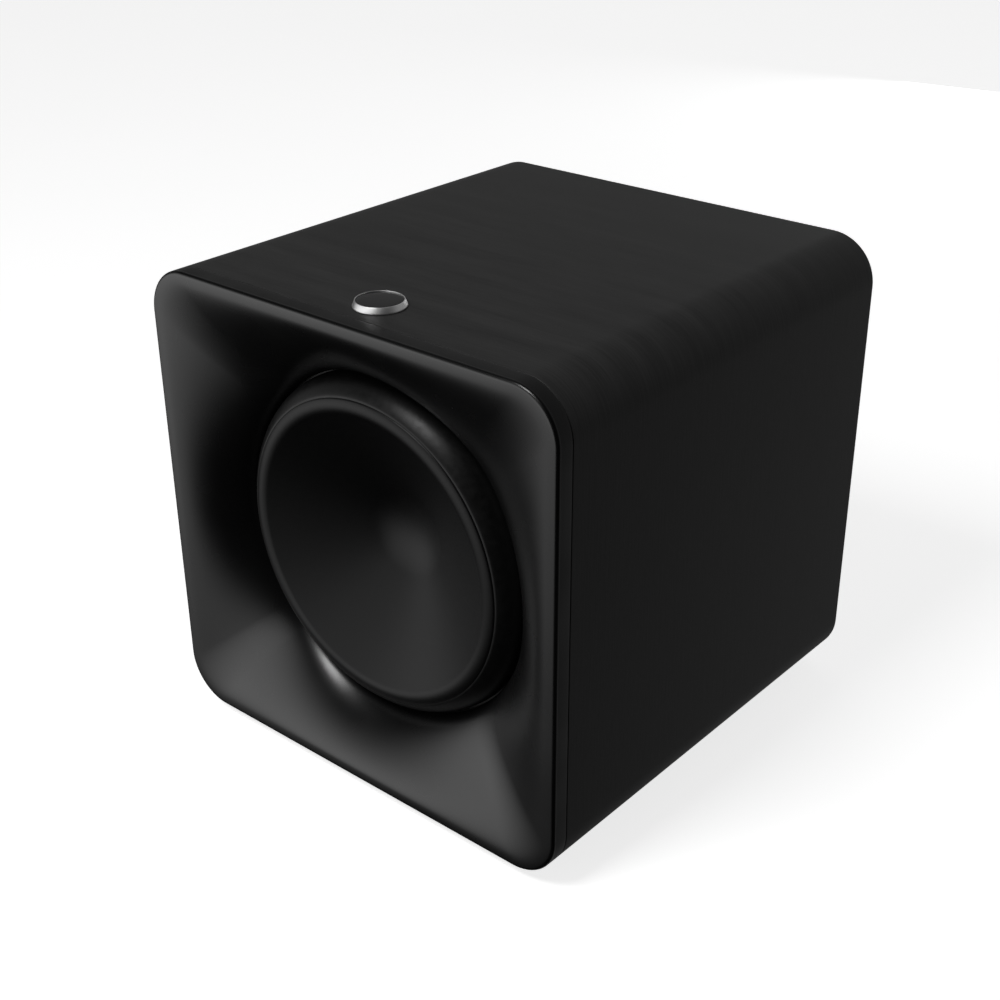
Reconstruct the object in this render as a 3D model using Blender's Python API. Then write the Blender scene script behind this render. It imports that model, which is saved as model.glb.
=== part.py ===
"""Compact powered subwoofer with a horn-shaped front and a 10-inch driver.

Metres, +Z up, front towards -Y. The origin is at the bottom centre of the whole
object's box. Depths are measured backwards from the plane of the front lip.
"""
import math

import bmesh
import bpy
from mathutils import Matrix, Vector

# Driving dimensions of the cabinet
WIDTH = 0.318
BODY_HEIGHT = 0.309
BODY_DEPTH = 0.320
CORNER_RADIUS = 0.031
FOOT_HEIGHT = 0.007
FOOT_RADIUS = 0.0155
FOOT_X = 0.105
FOOT_FRONT_DEPTH = 0.055
FOOT_REAR_DEPTH = 0.265
WALL = 0.015
GAP = 0.0003
OVERRUN = 0.005

# Front moulding
LIP_WIDTH = 0.0065
LIP_EDGE_RADIUS = 0.0025
SKIRT_DEPTH = 0.012
THROAT_RADIUS = 0.1116
THROAT_DEPTH = 0.0378
SPIGOT_THICKNESS = 0.0032
SPIGOT_LENGTH = 0.004
HORN_BACK_RADIUS = 0.133
HORN_BACK_START = 0.0145
HORN_BACK_DEPTH = 0.030
HORN_LIP_PULL = 0.25
HORN_THROAT_PULL = 0.45
HORN_FRONT_STEPS = 9
HORN_BACK_STEPS = 4

# Driver
RIM_RADIUS = 0.0938
RIM_DEPTH = 0.0185
RIM_INNER_ROLL = 0.009
DISH_SLOPE = math.radians(29)
TIP_RADIUS = 0.060
RIM_OUTER_ROLL = 0.010
RIM_OUTER_ANGLE = math.radians(30)
CONE_THICKNESS = 0.0015
SURROUND_THICKNESS = 0.0012
SURROUND_BULGE = 0.0032
FLANGE_RADIUS = 0.128
RECESS_CLEARANCE = 0.0015
LANDING_RADIUS = 0.1205
FLANGE_DEPTH = 0.0417
FLANGE_THICKNESS = 0.0025
FORMER_RADIUS = 0.025
FORMER_BACK = 0.1150
COIL_FRONT = 0.0945
BAFFLE_DEPTH = FLANGE_DEPTH + FLANGE_THICKNESS + GAP
BAFFLE_THICKNESS = 0.018
SCREW_HOLE_DEPTH = 0.0145
BRACE_DEPTH = 0.148
BRACE_THICKNESS = 0.012
BRACE_WIDTH = 0.032

# Rear controls
PANEL_FRONT_DEPTH = 0.300
PANEL_THICKNESS = 0.015
PLATE_WIDTH = 0.160
PLATE_HEIGHT = 0.236
PLATE_THICKNESS = 0.003
PLATE_X = 0.045
PLATE_MARGIN = 0.012
PLATE_FRONT_DEPTH = BODY_DEPTH - PLATE_THICKNESS
BOARD_FRONT = 0.2960
KNOB_RADIUS = 0.009
KNOB_PROUD = 0.014
POT_SHAFT_RADIUS = 0.003
POT_FRONT = 0.3060
GAIN_PLACE = (PLATE_X + 0.038, 0.084)
LOWPASS_PLACE = (PLATE_X - 0.038, 0.084)
PHASE_PLACE = (PLATE_X, 0.084)
LEVER_WIDTH = 0.0050
RCA_BLOCK_FRONT = 0.3020
RCA_FACE = BODY_DEPTH + 0.0100
RCA_INSULATOR_RADIUS = 0.0032
RCA_BORE_RADIUS = 0.0017
RCA_SHELL_RADIUS = 0.00415
RCA_LEFT_PLACE = (PLATE_X + 0.030, 0.030)
RCA_RIGHT_PLACE = (PLATE_X + 0.014, 0.030)
BUTTON_PLACE = (PLATE_X - 0.030, 0.030)
BUTTON_RADIUS = 0.0030
LED_PLACE = (PLATE_X - 0.044, 0.030)
LED_RADIUS = 0.0015
SWITCH_PLACE = (PLATE_X - 0.036, -0.078)
SWITCH_BODY = (0.0070, 0.0115)
ROCKER_HALF_WIDTH = 0.0053
ROCKER_PIVOT_DEPTH = 0.3165
ROCKER_TILT = math.radians(8)
INLET_PLACE = (PLATE_X + 0.022, -0.078)
INLET_BODY = (0.0140, 0.0100)
SNAP_IN_DEPTH = 0.2990
INLET_FLOOR = 0.3040
DRIVER_SCREW_CIRCLE = 0.1245
SCREW_HEAD = 0.0033
SCREW_SHANK = 0.0019
PORT_X = -0.089
PORT_RADIUS = 0.026
PORT_WALL = 0.003
PORT_FLANGE = 0.009
PORT_FLARE = 0.0085
PORT_PROUD = 0.003
PORT_LENGTH = 0.140

# Where things are
FRONT_Y = -(BODY_DEPTH + KNOB_PROUD) / 2
CENTRE_Z = FOOT_HEIGHT + BODY_HEIGHT / 2
ROUND = 48
HIDDEN_ROUND = 32
CORNER_STEPS = 6


# ---------------------------------------------------------------- materials

def material(name, colour, roughness, metallic=0.0):
    """Return a Principled material, made once."""
    found = bpy.data.materials.get(name)
    if found:
        return found
    made = bpy.data.materials.new(name)
    made.use_nodes = True
    shader = made.node_tree.nodes["Principled BSDF"]
    shader.inputs["Base Color"].default_value = (*colour, 1.0)
    shader.inputs["Roughness"].default_value = roughness
    shader.inputs["Metallic"].default_value = metallic
    return made


BLACK_ASH = material("black_ash", (0.012, 0.012, 0.012), 0.45)
SATIN_PLASTIC = material("satin_plastic", (0.02, 0.02, 0.02), 0.3)
MOULDED_PLASTIC = material("moulded_plastic", (0.018, 0.018, 0.018), 0.5)
CHROME = material("chrome", (0.8, 0.8, 0.8), 0.08, 1.0)
GLOSS_BLACK = material("gloss_black", (0.006, 0.006, 0.006), 0.06)
RUBBER = material("rubber", (0.02, 0.02, 0.02), 0.6)
CONE_FIBRE = material("cone_fibre", (0.025, 0.025, 0.025), 0.45)
SPIDER_CLOTH = material("spider_cloth", (0.45, 0.27, 0.08), 0.9)
ALUMINIUM = material("aluminium", (0.75, 0.76, 0.77), 0.35, 1.0)
COPPER = material("copper", (0.85, 0.42, 0.25), 0.35, 1.0)
PLATED_STEEL = material("plated_steel", (0.6, 0.6, 0.58), 0.35, 1.0)
BLACK_STEEL = material("black_steel", (0.02, 0.02, 0.02), 0.4, 0.6)
FERRITE = material("ferrite", (0.07, 0.07, 0.07), 0.7)
BOARD_WOOD = material("board_wood", (0.35, 0.24, 0.14), 0.8)
CIRCUIT_GREEN = material("circuit_green", (0.02, 0.16, 0.06), 0.4)
CAPACITOR_SLEEVE = material("capacitor_sleeve", (0.02, 0.03, 0.12), 0.35)
TRANSFORMER_TAPE = material("transformer_tape", (0.55, 0.42, 0.05), 0.5)
LED_LENS = material("led_lens", (0.75, 0.85, 0.95), 0.15)


# ---------------------------------------------------------------- mesh helpers

def at(x, depth, z):
    """A point given by its depth behind the front lip and its height over the driver's axis."""
    return Vector((x, FRONT_Y + depth, CENTRE_Z + z))


def finish_mesh(name, bm, look, smooth_angle=None, origin=None):
    """Turn a bmesh into a named object, with its origin at the given point."""
    bmesh.ops.remove_doubles(bm, verts=bm.verts, dist=1e-6)
    bmesh.ops.recalc_face_normals(bm, faces=bm.faces)
    if origin is not None:
        bmesh.ops.translate(bm, verts=bm.verts, vec=-origin)
    mesh = bpy.data.meshes.new(name)
    bm.to_mesh(mesh)
    bm.free()
    mesh.materials.append(look)
    thing = bpy.data.objects.new(name, mesh)
    bpy.context.scene.collection.objects.link(thing)
    if origin is not None:
        thing.location = origin
    if smooth_angle:
        mesh.shade_smooth()
        mesh.set_sharp_from_angle(angle=math.radians(smooth_angle))
    return thing


def loft(name, loops, look, closed=False, smooth_angle=35, origin=None):
    """Skin a list of equal loops; a closed one joins its last loop to its first."""
    bm = bmesh.new()
    rings = [[bm.verts.new(point) for point in loop] for loop in loops]
    pairs = list(zip(rings, rings[1:]))
    if closed:
        pairs.append((rings[-1], rings[0]))
    for first, second in pairs:
        for i in range(len(first)):
            j = (i + 1) % len(first)
            bm.faces.new((first[i], first[j], second[j], second[i]))
    if not closed:
        bm.faces.new(rings[0])
        bm.faces.new(rings[-1])
    return finish_mesh(name, bm, look, smooth_angle, origin)


def turned(name, profile, look, x=0.0, z=0.0, closed=True, steps=ROUND, smooth_angle=35, origin=None):
    """Spin a profile of (radius, depth) points about an axis along Y.

    A closed profile makes a ring. An open one starts and ends on the axis.
    """
    bm = bmesh.new()
    points = [bm.verts.new(at(x + radius, depth, z)) for radius, depth in profile]
    edges = [bm.edges.new(pair) for pair in zip(points, points[1:])]
    if closed:
        edges.append(bm.edges.new((points[-1], points[0])))
    bmesh.ops.spin(bm, geom=points + edges, axis=(0, 1, 0), cent=at(x, 0, z),
                   angle=math.tau, steps=steps, use_merge=True, use_duplicate=False)
    bmesh.ops.remove_doubles(bm, verts=bm.verts, dist=1e-6)
    return finish_mesh(name, bm, look, smooth_angle, origin)


def ring(name, inner, outer, front, back, look, **options):
    """A plain ring between two radii and two depths."""
    profile = [(inner, front), (outer, front), (outer, back), (inner, back)]
    return turned(name, profile, look, **options)


def disc(name, radius, front, back, look, **options):
    """A plain disc between two depths."""
    profile = [(0, front), (radius, front), (radius, back), (0, back)]
    return turned(name, profile, look, closed=False, **options)


def block(name, low, high, look, bevel=0.0, origin=None):
    """A box between two points (x, depth, z), with rounded edges if bevel is given."""
    low = at(*low)
    high = at(*high)
    bm = bmesh.new()
    bmesh.ops.create_cube(bm, size=1.0)
    bmesh.ops.scale(bm, vec=high - low, verts=bm.verts)
    bmesh.ops.translate(bm, vec=(high + low) / 2, verts=bm.verts)
    if bevel:
        bmesh.ops.bevel(bm, geom=bm.edges[:], offset=bevel, segments=2, affect="EDGES", profile=0.7)
    return finish_mesh(name, bm, look, 40 if bevel else None, origin)


def box_between(name, x0, x1, front, back, z0, z1, look, **options):
    """A box given by its ranges."""
    return block(name, (x0, front, z0), (x1, back, z1), look, **options)


def cut(thing, *cutters):
    """Take cutters away from a piece, and hide them."""
    for cutter in cutters:
        modifier = thing.modifiers.new("cut_" + cutter.name, "BOOLEAN")
        modifier.operation = "DIFFERENCE"
        modifier.solver = "EXACT"
        modifier.object = cutter
        cutter.hide_render = True
        cutter.display_type = "WIRE"
    return thing


def join_to(thing, *others):
    """Unite other pieces with this one, and hide them."""
    cut(thing, *others)
    for modifier in thing.modifiers[-len(others):]:
        modifier.operation = "UNION"
    return thing


# ---------------------------------------------------------------- outlines

def rounded_rectangle(half_width, half_height, radius, side_steps=1, corner_steps=CORNER_STEPS):
    """Points (x, z) round a rounded rectangle, anticlockwise from the right side's middle."""
    points = []
    corners = [(1, 1, 0), (-1, 1, 90), (-1, -1, 180), (1, -1, 270)]
    for sign_x, sign_z, start in corners:
        centre_x = sign_x * (half_width - radius)
        centre_z = sign_z * (half_height - radius)
        for step in range(corner_steps + 1):
            angle = math.radians(start + 90 * step / corner_steps)
            points.append((centre_x + radius * math.cos(angle), centre_z + radius * math.sin(angle)))
    if side_steps == 1:
        return points
    divided = []
    for i, point in enumerate(points):
        divided.append(point)
        if i % (corner_steps + 1) == corner_steps:
            following = points[(i + 1) % len(points)]
            for step in range(1, side_steps):
                share = step / side_steps
                divided.append(tuple(a + (b - a) * share for a, b in zip(point, following)))
    return divided


def cabinet_outline(inset, side_steps=1):
    """The cabinet's outer contour, moved inwards."""
    radius = max(CORNER_RADIUS - inset, 0.004)
    return rounded_rectangle(WIDTH / 2 - inset, BODY_HEIGHT / 2 - inset, radius, side_steps)


def to_depth(outline, depth):
    """Put an outline at one depth."""
    return [at(x, depth, z) for x, z in outline]


def arc(centre, radius, start, end, steps):
    """Points (radius, depth) on an arc; angle 0 faces outwards, 90 degrees forwards."""
    points = []
    for step in range(steps + 1):
        angle = start + (end - start) * step / steps
        points.append((centre[0] + radius * math.cos(angle), centre[1] - radius * math.sin(angle)))
    return points


# ---------------------------------------------------------------- front moulding

HORN_SIDE_STEPS = 8


def horn_round(radius, lip):
    """A circle whose points lie on the same rays as the lip's points."""
    return [(radius * math.cos(math.atan2(z, x)), radius * math.sin(math.atan2(z, x))) for x, z in lip]


def blend_outlines(first, second, share):
    """Points between two outlines."""
    return [(a[0] + (b[0] - a[0]) * share, a[1] + (b[1] - a[1]) * share) for a, b in zip(first, second)]


def flare(share):
    """A bell mouth's section, on a cubic curve: flat at its lip, axial at its throat.

    Returns how far inwards and how far back a point is, each from 0 to 1.
    """
    rest = 1 - share
    inwards = 3 * rest ** 2 * share * HORN_LIP_PULL + 3 * rest * share ** 2 + share ** 3
    back = 3 * rest * share ** 2 * (1 - HORN_THROAT_PULL) + share ** 3
    return inwards, back


def horn_surface(lip_inset, radius, lip_depth, throat_depth, steps):
    """Loops of a bell mouth from its lip to its throat, square to round."""
    lip = cabinet_outline(lip_inset, HORN_SIDE_STEPS)
    throat = horn_round(radius, lip)
    loops = []
    for step in range(steps + 1):
        inwards, back = flare(step / steps)
        depth = lip_depth + (throat_depth - lip_depth) * back
        loops.append(to_depth(blend_outlines(lip, throat, inwards), depth))
    return loops


def make_front_horn():
    """The moulded front: rounded lip, skirt and spigot outside, bell mouth inside."""
    sections = []
    for turn in (0, math.pi / 4, math.pi / 2):
        sections.append((LIP_EDGE_RADIUS * (1 - math.sin(turn)), LIP_EDGE_RADIUS * (1 - math.cos(turn))))
    spigot = WALL + GAP
    spigot_inner = spigot + SPIGOT_THICKNESS
    spigot_end = SKIRT_DEPTH + SPIGOT_LENGTH
    sections += [(0, SKIRT_DEPTH), (spigot, SKIRT_DEPTH), (spigot, spigot_end), (spigot_inner, spigot_end)]
    loops = [to_depth(cabinet_outline(inset, HORN_SIDE_STEPS), depth) for inset, depth in sections]
    loops += horn_surface(spigot_inner, HORN_BACK_RADIUS, HORN_BACK_START, HORN_BACK_DEPTH, HORN_BACK_STEPS)
    lip = cabinet_outline(LIP_WIDTH, HORN_SIDE_STEPS)
    recess = FLANGE_RADIUS + RECESS_CLEARANCE
    for radius, depth in ((HORN_BACK_RADIUS, BAFFLE_DEPTH - GAP), (recess, BAFFLE_DEPTH - GAP),
                          (recess, THROAT_DEPTH)):
        loops.append(to_depth(horn_round(radius, lip), depth))
    loops += horn_surface(LIP_WIDTH, THROAT_RADIUS, 0, THROAT_DEPTH, HORN_FRONT_STEPS)[::-1]
    return loft("front_horn", loops, SATIN_PLASTIC, closed=True, smooth_angle=30)


# ---------------------------------------------------------------- cabinet

def make_cabinet_shell():
    """The veneered box, open at both ends, in one piece."""
    front = SKIRT_DEPTH + GAP
    loops = [to_depth(cabinet_outline(inset), depth)
             for inset, depth in ((0, front), (0, BODY_DEPTH), (WALL, BODY_DEPTH), (WALL, front))]
    return loft("cabinet_shell", loops, BLACK_ASH, closed=True, smooth_angle=30)


def inner_board(name, front, back, look):
    """A board that fits inside the cabinet shell."""
    outline = cabinet_outline(WALL + GAP)
    return loft(name, [to_depth(outline, front), to_depth(outline, back)], look, smooth_angle=30)


def make_baffle_board():
    """The board that carries the driver."""
    back = BAFFLE_DEPTH + BAFFLE_THICKNESS
    board = inner_board("baffle_board", BAFFLE_DEPTH, back, BOARD_WOOD)
    hole = disc("baffle_hole", FLANGE_RADIUS - 0.011, BAFFLE_DEPTH - OVERRUN, back + OVERRUN, BOARD_WOOD)
    screw_holes = driver_screw_holes("baffle", BAFFLE_DEPTH - OVERRUN, BAFFLE_DEPTH + SCREW_HOLE_DEPTH)
    return cut(board, hole, *screw_holes)


def make_window_brace():
    """A board across the middle of the cabinet, with a large window."""
    back = BRACE_DEPTH + BRACE_THICKNESS
    board = inner_board("window_brace", BRACE_DEPTH, back, BOARD_WOOD)
    outline = cabinet_outline(WALL + BRACE_WIDTH)
    ends = [to_depth(outline, BRACE_DEPTH - OVERRUN), to_depth(outline, back + OVERRUN)]
    window = loft("brace_window", ends, BOARD_WOOD)
    return cut(board, window)


def make_rear_panel():
    """The back of the box, with a window for the amplifier and a hole for the port."""
    back = PANEL_FRONT_DEPTH + PANEL_THICKNESS
    panel = inner_board("rear_panel", PANEL_FRONT_DEPTH, back, BLACK_ASH)
    ends = (PANEL_FRONT_DEPTH - OVERRUN, back + OVERRUN)
    window = plate_prism("amp_window", PLATE_MARGIN, *ends, BLACK_ASH)
    port_hole = disc("port_hole", PORT_RADIUS + PORT_WALL + GAP, *ends, BLACK_ASH, x=PORT_X)
    return cut(panel, window, port_hole, *plate_screw_holes("panel", *ends))


def make_feet():
    """Four round rubber feet under the cabinet, out of sight from above."""
    top = FOOT_HEIGHT - GAP
    profile = [(0, 0), (FOOT_RADIUS - 0.002, 0), (FOOT_RADIUS - 0.001, 0.0015), (FOOT_RADIUS, top), (0, top)]
    for side, x in (("left", -FOOT_X), ("right", FOOT_X)):
        for end, depth in (("front", FOOT_FRONT_DEPTH), ("rear", FOOT_REAR_DEPTH)):
            foot = turned("foot_" + end + "_" + side, profile, RUBBER, closed=False, steps=24,
                          origin=at(0, 0, 0))
            foot.rotation_euler = (math.pi / 2, 0, 0)
            foot.location = Vector((x, FRONT_Y + depth, 0))


# ---------------------------------------------------------------- badge

BADGE_RADIUS = 0.0157
BADGE_X = 0.0033
BADGE_DEPTH = 0.035
BADGE_HEIGHT = 0.0038
BADGE_RING_WIDTH = 0.0018
BADGE_BEVEL = 0.0014
BADGE_BEVEL_START = 0.0006


def upright(thing, x, depth, z):
    """Stand a piece that was turned about Y at the origin up along +Z, with its front end down."""
    thing.rotation_euler = (math.pi / 2, 0, 0)
    thing.location = Vector((x, FRONT_Y + depth, z))
    return thing


def make_badge():
    """A chrome ring round a gloss disc on the top, near the front."""
    top = FOOT_HEIGHT + BODY_HEIGHT + GAP
    inner = BADGE_RADIUS - BADGE_RING_WIDTH
    ring_profile = [(inner, 0), (BADGE_RADIUS, 0), (BADGE_RADIUS, BADGE_BEVEL_START),
                    (BADGE_RADIUS - BADGE_BEVEL, BADGE_HEIGHT), (inner, BADGE_HEIGHT)]
    disc_radius = inner - GAP
    disc_profile = [(0, 0), (disc_radius, 0), (disc_radius, BADGE_HEIGHT - 0.0007),
                    (disc_radius * 0.7, BADGE_HEIGHT - 0.0004), (0, BADGE_HEIGHT - 0.0003)]
    origin = at(0, 0, 0)
    badge_ring = turned("badge_ring", ring_profile, CHROME, steps=32, origin=origin)
    badge_disc = turned("badge_disc", disc_profile, GLOSS_BLACK, closed=False, steps=32, origin=origin)
    for piece in (badge_ring, badge_disc):
        upright(piece, BADGE_X, BADGE_DEPTH, top)


# ---------------------------------------------------------------- driver

def dish_profile(offset, steps=4):
    """The dish from its rounded tip up its straight wall to its rolled rim, moved back by offset.

    Points are (radius, depth).
    """
    roll_centre = (RIM_RADIUS, RIM_DEPTH + RIM_INNER_ROLL)
    start_radius = roll_centre[0] - RIM_INNER_ROLL * math.sin(DISH_SLOPE)
    start_depth = roll_centre[1] - RIM_INNER_ROLL * math.cos(DISH_SLOPE)
    tip_edge = TIP_RADIUS * math.sin(DISH_SLOPE)
    wall_rise = (start_radius - tip_edge) * math.tan(DISH_SLOPE)
    tip_centre = start_depth + wall_rise - TIP_RADIUS * math.cos(DISH_SLOPE)
    reach = TIP_RADIUS + offset
    points = []
    for step in range(steps + 1):
        tilt = DISH_SLOPE * step / steps
        points.append((reach * math.sin(tilt), tip_centre + reach * math.cos(tilt)))
    inner = arc(roll_centre, RIM_INNER_ROLL - offset, math.pi / 2 + DISH_SLOPE, math.pi / 2, 3)
    outer_centre = (RIM_RADIUS, RIM_DEPTH + RIM_OUTER_ROLL)
    outer = arc(outer_centre, RIM_OUTER_ROLL - offset, math.pi / 2, math.pi / 2 - RIM_OUTER_ANGLE, 3)
    if offset:
        inner = inner[:-1]
        outer = outer[1:]
    return points + inner + outer[1:]


def make_cone():
    """A one-piece dish with a rolled rim and no dust cap."""
    front = dish_profile(0.0)
    back = dish_profile(CONE_THICKNESS)
    cone = turned("cone", front + back[::-1], CONE_FIBRE, closed=False, origin=at(0, RIM_DEPTH, 0))
    return cone


def cone_back_depth(radius):
    """How deep the back of the dish is at a radius."""
    profile = dish_profile(CONE_THICKNESS)
    for first, second in zip(profile, profile[1:]):
        if first[0] <= radius <= second[0]:
            share = (radius - first[0]) / (second[0] - first[0])
            return first[1] + (second[1] - first[1]) * share
    return profile[-1][1]


def rim_edge():
    """The front corner of the rim's outer edge, as (radius, depth)."""
    return (RIM_RADIUS + RIM_OUTER_ROLL * math.sin(RIM_OUTER_ANGLE),
            RIM_DEPTH + RIM_OUTER_ROLL * (1 - math.cos(RIM_OUTER_ANGLE)))


def surround_profile(steps=6):
    """The roll from under the cone's rim to its landing on the basket, as (radius, depth)."""
    start = (rim_edge()[0] - GAP, rim_edge()[1] + CONE_THICKNESS + GAP)
    end = (THROAT_RADIUS - 0.0010, FLANGE_DEPTH - SURROUND_THICKNESS - GAP)
    across = (end[0] - start[0], end[1] - start[1])
    length = math.hypot(*across)
    outwards = (across[1] / length, -across[0] / length)
    points = []
    for step in range(steps + 1):
        share = step / steps
        bulge = SURROUND_BULGE * math.sin(math.pi * share)
        points.append((start[0] + across[0] * share + outwards[0] * bulge,
                       start[1] + across[1] * share + outwards[1] * bulge))
    return points


def make_surround():
    """The rubber roll between the cone's rim and the basket."""
    front = surround_profile()
    glue = (RIM_RADIUS - 0.001, rim_edge()[1] + CONE_THICKNESS + GAP)
    landing = (LANDING_RADIUS, FLANGE_DEPTH - SURROUND_THICKNESS - GAP)
    front = [glue] + front + [landing]
    back = [(radius - SURROUND_THICKNESS * 0.5, depth + SURROUND_THICKNESS) for radius, depth in front[1:-1]]
    back = [(glue[0], glue[1] + SURROUND_THICKNESS)] + back
    back.append((landing[0], landing[1] + SURROUND_THICKNESS))
    return turned("surround", front + back[::-1], RUBBER, origin=at(0, FLANGE_DEPTH, 0))


BASKET_SEAT_DEPTH = 0.0997
BASKET_WINDOW = 0.0274
SPIDER_DEPTH = 0.0874
SPIDER_LEDGE_OUTER = 0.0795


def make_basket():
    """A pressed steel frame with six windows, a step for the spider and a seat for the magnet."""
    ledge = SPIDER_DEPTH + 0.0008
    profile = [(0.1140, FLANGE_DEPTH), (FLANGE_RADIUS, FLANGE_DEPTH),
               (FLANGE_RADIUS, FLANGE_DEPTH + FLANGE_THICKNESS), (0.1163, FLANGE_DEPTH + FLANGE_THICKNESS),
               (0.1120, 0.0580), (0.0820, 0.0860), (0.0820, ledge + 0.0025), (0.0723, ledge + 0.0025),
               (0.0723, BASKET_SEAT_DEPTH), (0.0400, BASKET_SEAT_DEPTH), (0.0400, BASKET_SEAT_DEPTH - 0.0025),
               (0.0698, BASKET_SEAT_DEPTH - 0.0025), (0.0698, ledge), (SPIDER_LEDGE_OUTER, ledge),
               (SPIDER_LEDGE_OUTER, 0.0850), (0.1095, 0.0570), (0.1133, FLANGE_DEPTH + 0.0023)]
    basket = turned("basket", profile, BLACK_STEEL)
    cutters = []
    for i in range(6):
        window = box_between("basket_window_" + str(i + 1), 0.050, 0.135, 0.0613, 0.0817,
                             -BASKET_WINDOW, BASKET_WINDOW, BLACK_STEEL)
        pivot = at(0, 0, 0)
        turn = Matrix.Rotation(math.tau * (i + 0.5) / 6, 4, "Y")
        window.matrix_world = Matrix.Translation(pivot) @ turn @ Matrix.Translation(-pivot)
        cutters.append(window)
    cutters += driver_screw_holes("flange", FLANGE_DEPTH - OVERRUN, BAFFLE_DEPTH + OVERRUN)
    return cut(basket, *cutters)


def make_spider():
    """A corrugated cloth ring that centres the coil."""
    inner = FORMER_RADIUS + GAP
    outer = SPIDER_LEDGE_OUTER - 0.0010
    folded = 0.0685
    folds = 9
    front = [(inner, SPIDER_DEPTH - 0.0005)]
    for fold in range(folds):
        share = (fold + 1) / (folds + 1)
        wave = 0.0018 if fold % 2 else -0.0018
        front.append((inner + (folded - inner) * share, SPIDER_DEPTH - 0.0005 + wave))
    front += [(folded, SPIDER_DEPTH - 0.0005), (outer, SPIDER_DEPTH - 0.0005)]
    back = [(radius, depth + 0.0009) for radius, depth in front]
    return turned("spider", front + back[::-1], SPIDER_CLOTH, steps=HIDDEN_ROUND,
                  origin=at(0, SPIDER_DEPTH, 0))


def make_motor():
    """Coil former, coil, top plate, magnet, yoke and the magnet's rubber boot."""
    former_inner = FORMER_RADIUS - 0.0006
    former_front = cone_back_depth(former_inner) + GAP
    ring("coil_former", former_inner, FORMER_RADIUS, former_front, FORMER_BACK, ALUMINIUM, steps=HIDDEN_ROUND)
    ring("voice_coil", FORMER_RADIUS + GAP, FORMER_RADIUS + 0.0016, COIL_FRONT, FORMER_BACK - 0.0005, COPPER,
         steps=HIDDEN_ROUND)
    plate_front = BASKET_SEAT_DEPTH + GAP
    plate_back = plate_front + 0.008
    ring("top_plate", FORMER_RADIUS + 0.0028, 0.060, plate_front, plate_back, PLATED_STEEL,
         steps=HIDDEN_ROUND)
    magnet_front = plate_back + GAP
    magnet_back = magnet_front + 0.022
    ring("magnet", 0.038, 0.068, magnet_front, magnet_back, FERRITE, steps=HIDDEN_ROUND)
    yoke_front = magnet_back + GAP
    pole = FORMER_RADIUS - 0.0016
    yoke_back = yoke_front + 0.008
    yoke = [(0.008, plate_front), (pole - 0.001, plate_front), (pole, plate_front + 0.001),
            (pole, yoke_front), (0.060, yoke_front), (0.060, yoke_back), (0.008, yoke_back)]
    turned("yoke", yoke, PLATED_STEEL, steps=HIDDEN_ROUND)
    boot_seat = yoke_back + GAP
    boot_back = boot_seat + 0.0024
    boot = [(0.0683, magnet_front), (0.0705, magnet_front), (0.0705, boot_back), (0.030, boot_back),
            (0.030, boot_seat), (0.0683, boot_seat)]
    turned("magnet_boot", boot, RUBBER, steps=HIDDEN_ROUND)


def make_trim_ring():
    """The rubber ring between the horn's throat and the driver's flange."""
    front = THROAT_DEPTH + GAP
    back = FLANGE_DEPTH - SURROUND_THICKNESS - 2 * GAP
    profile = [(THROAT_RADIUS + 0.0035, front), (LANDING_RADIUS, front), (LANDING_RADIUS, back),
               (THROAT_RADIUS + 0.0055, back)]
    return turned("trim_ring", profile, RUBBER)


def driver_screw_places():
    """The six screws' places round the flange, as (x, z), clear of the facets' edges."""
    angles = [math.tau * ((i + 0.5) / 6 + 0.5 / ROUND) for i in range(6)]
    return [(DRIVER_SCREW_CIRCLE * math.cos(angle), DRIVER_SCREW_CIRCLE * math.sin(angle))
            for angle in angles]


def driver_screw_holes(owner, front, back):
    """Cutters for the holes that the driver's screws pass through."""
    return [disc(owner + "_screw_hole_" + str(i + 1), SCREW_SHANK + GAP, front, back, BLACK_STEEL,
                 x=x, z=z, steps=12) for i, (x, z) in enumerate(driver_screw_places())]


def pan_screw(name, x, z, seat, length, towards_rear):
    """A pan-head screw seated at a depth; its shank runs on towards the rear or the front."""
    way = 1 if towards_rear else -1
    section = [(0, -0.0022), (0.0024, -0.0020), (SCREW_HEAD, -0.0009), (SCREW_HEAD, -GAP),
               (SCREW_SHANK, -GAP), (SCREW_SHANK, length), (0, length + 0.0015)]
    profile = [(radius, seat + way * along) for radius, along in section]
    return turned(name, profile, PLATED_STEEL, x=x, z=z, closed=False, steps=8)


def make_driver_screws():
    """Six pan-head screws through the driver's flange into the baffle board."""
    for i, (x, z) in enumerate(driver_screw_places()):
        pan_screw("driver_screw_" + str(i + 1), x, z, FLANGE_DEPTH, 0.0150, True)


def make_terminals():
    """Terminal strip on the basket and two braided leads to the coil."""
    strip_front = 0.0863
    box_between("terminal_strip", -0.012, 0.012, strip_front, 0.0900, 0.0826, 0.0910, GLOSS_BLACK)
    for side, x in (("left", -0.007), ("right", 0.007)):
        route = [(x, strip_front - GAP, 0.0885), (x, 0.0815, 0.0885), (x, 0.0775, 0.0868),
                 (x, 0.0748, 0.0760), (x, 0.0770, 0.0500), (x, 0.0742, FORMER_RADIUS + 0.0022)]
        points = [at(*place) for place in smooth_route(route, 4)]
        tube("tinsel_lead_" + side, points, 0.0009, COPPER)


def tube(name, points, radius, look):
    """A round lead along a smooth list of points, with filled caps."""
    curve = bpy.data.curves.new(name, "CURVE")
    curve.dimensions = "3D"
    curve.bevel_depth = radius
    curve.bevel_resolution = 2
    curve.use_fill_caps = True
    spline = curve.splines.new("POLY")
    spline.points.add(len(points) - 1)
    for place, point in zip(spline.points, points):
        place.co = (*point, 1.0)
    curve.materials.append(look)
    thing = bpy.data.objects.new(name, curve)
    bpy.context.scene.collection.objects.link(thing)
    return thing


# ---------------------------------------------------------------- rear

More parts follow.
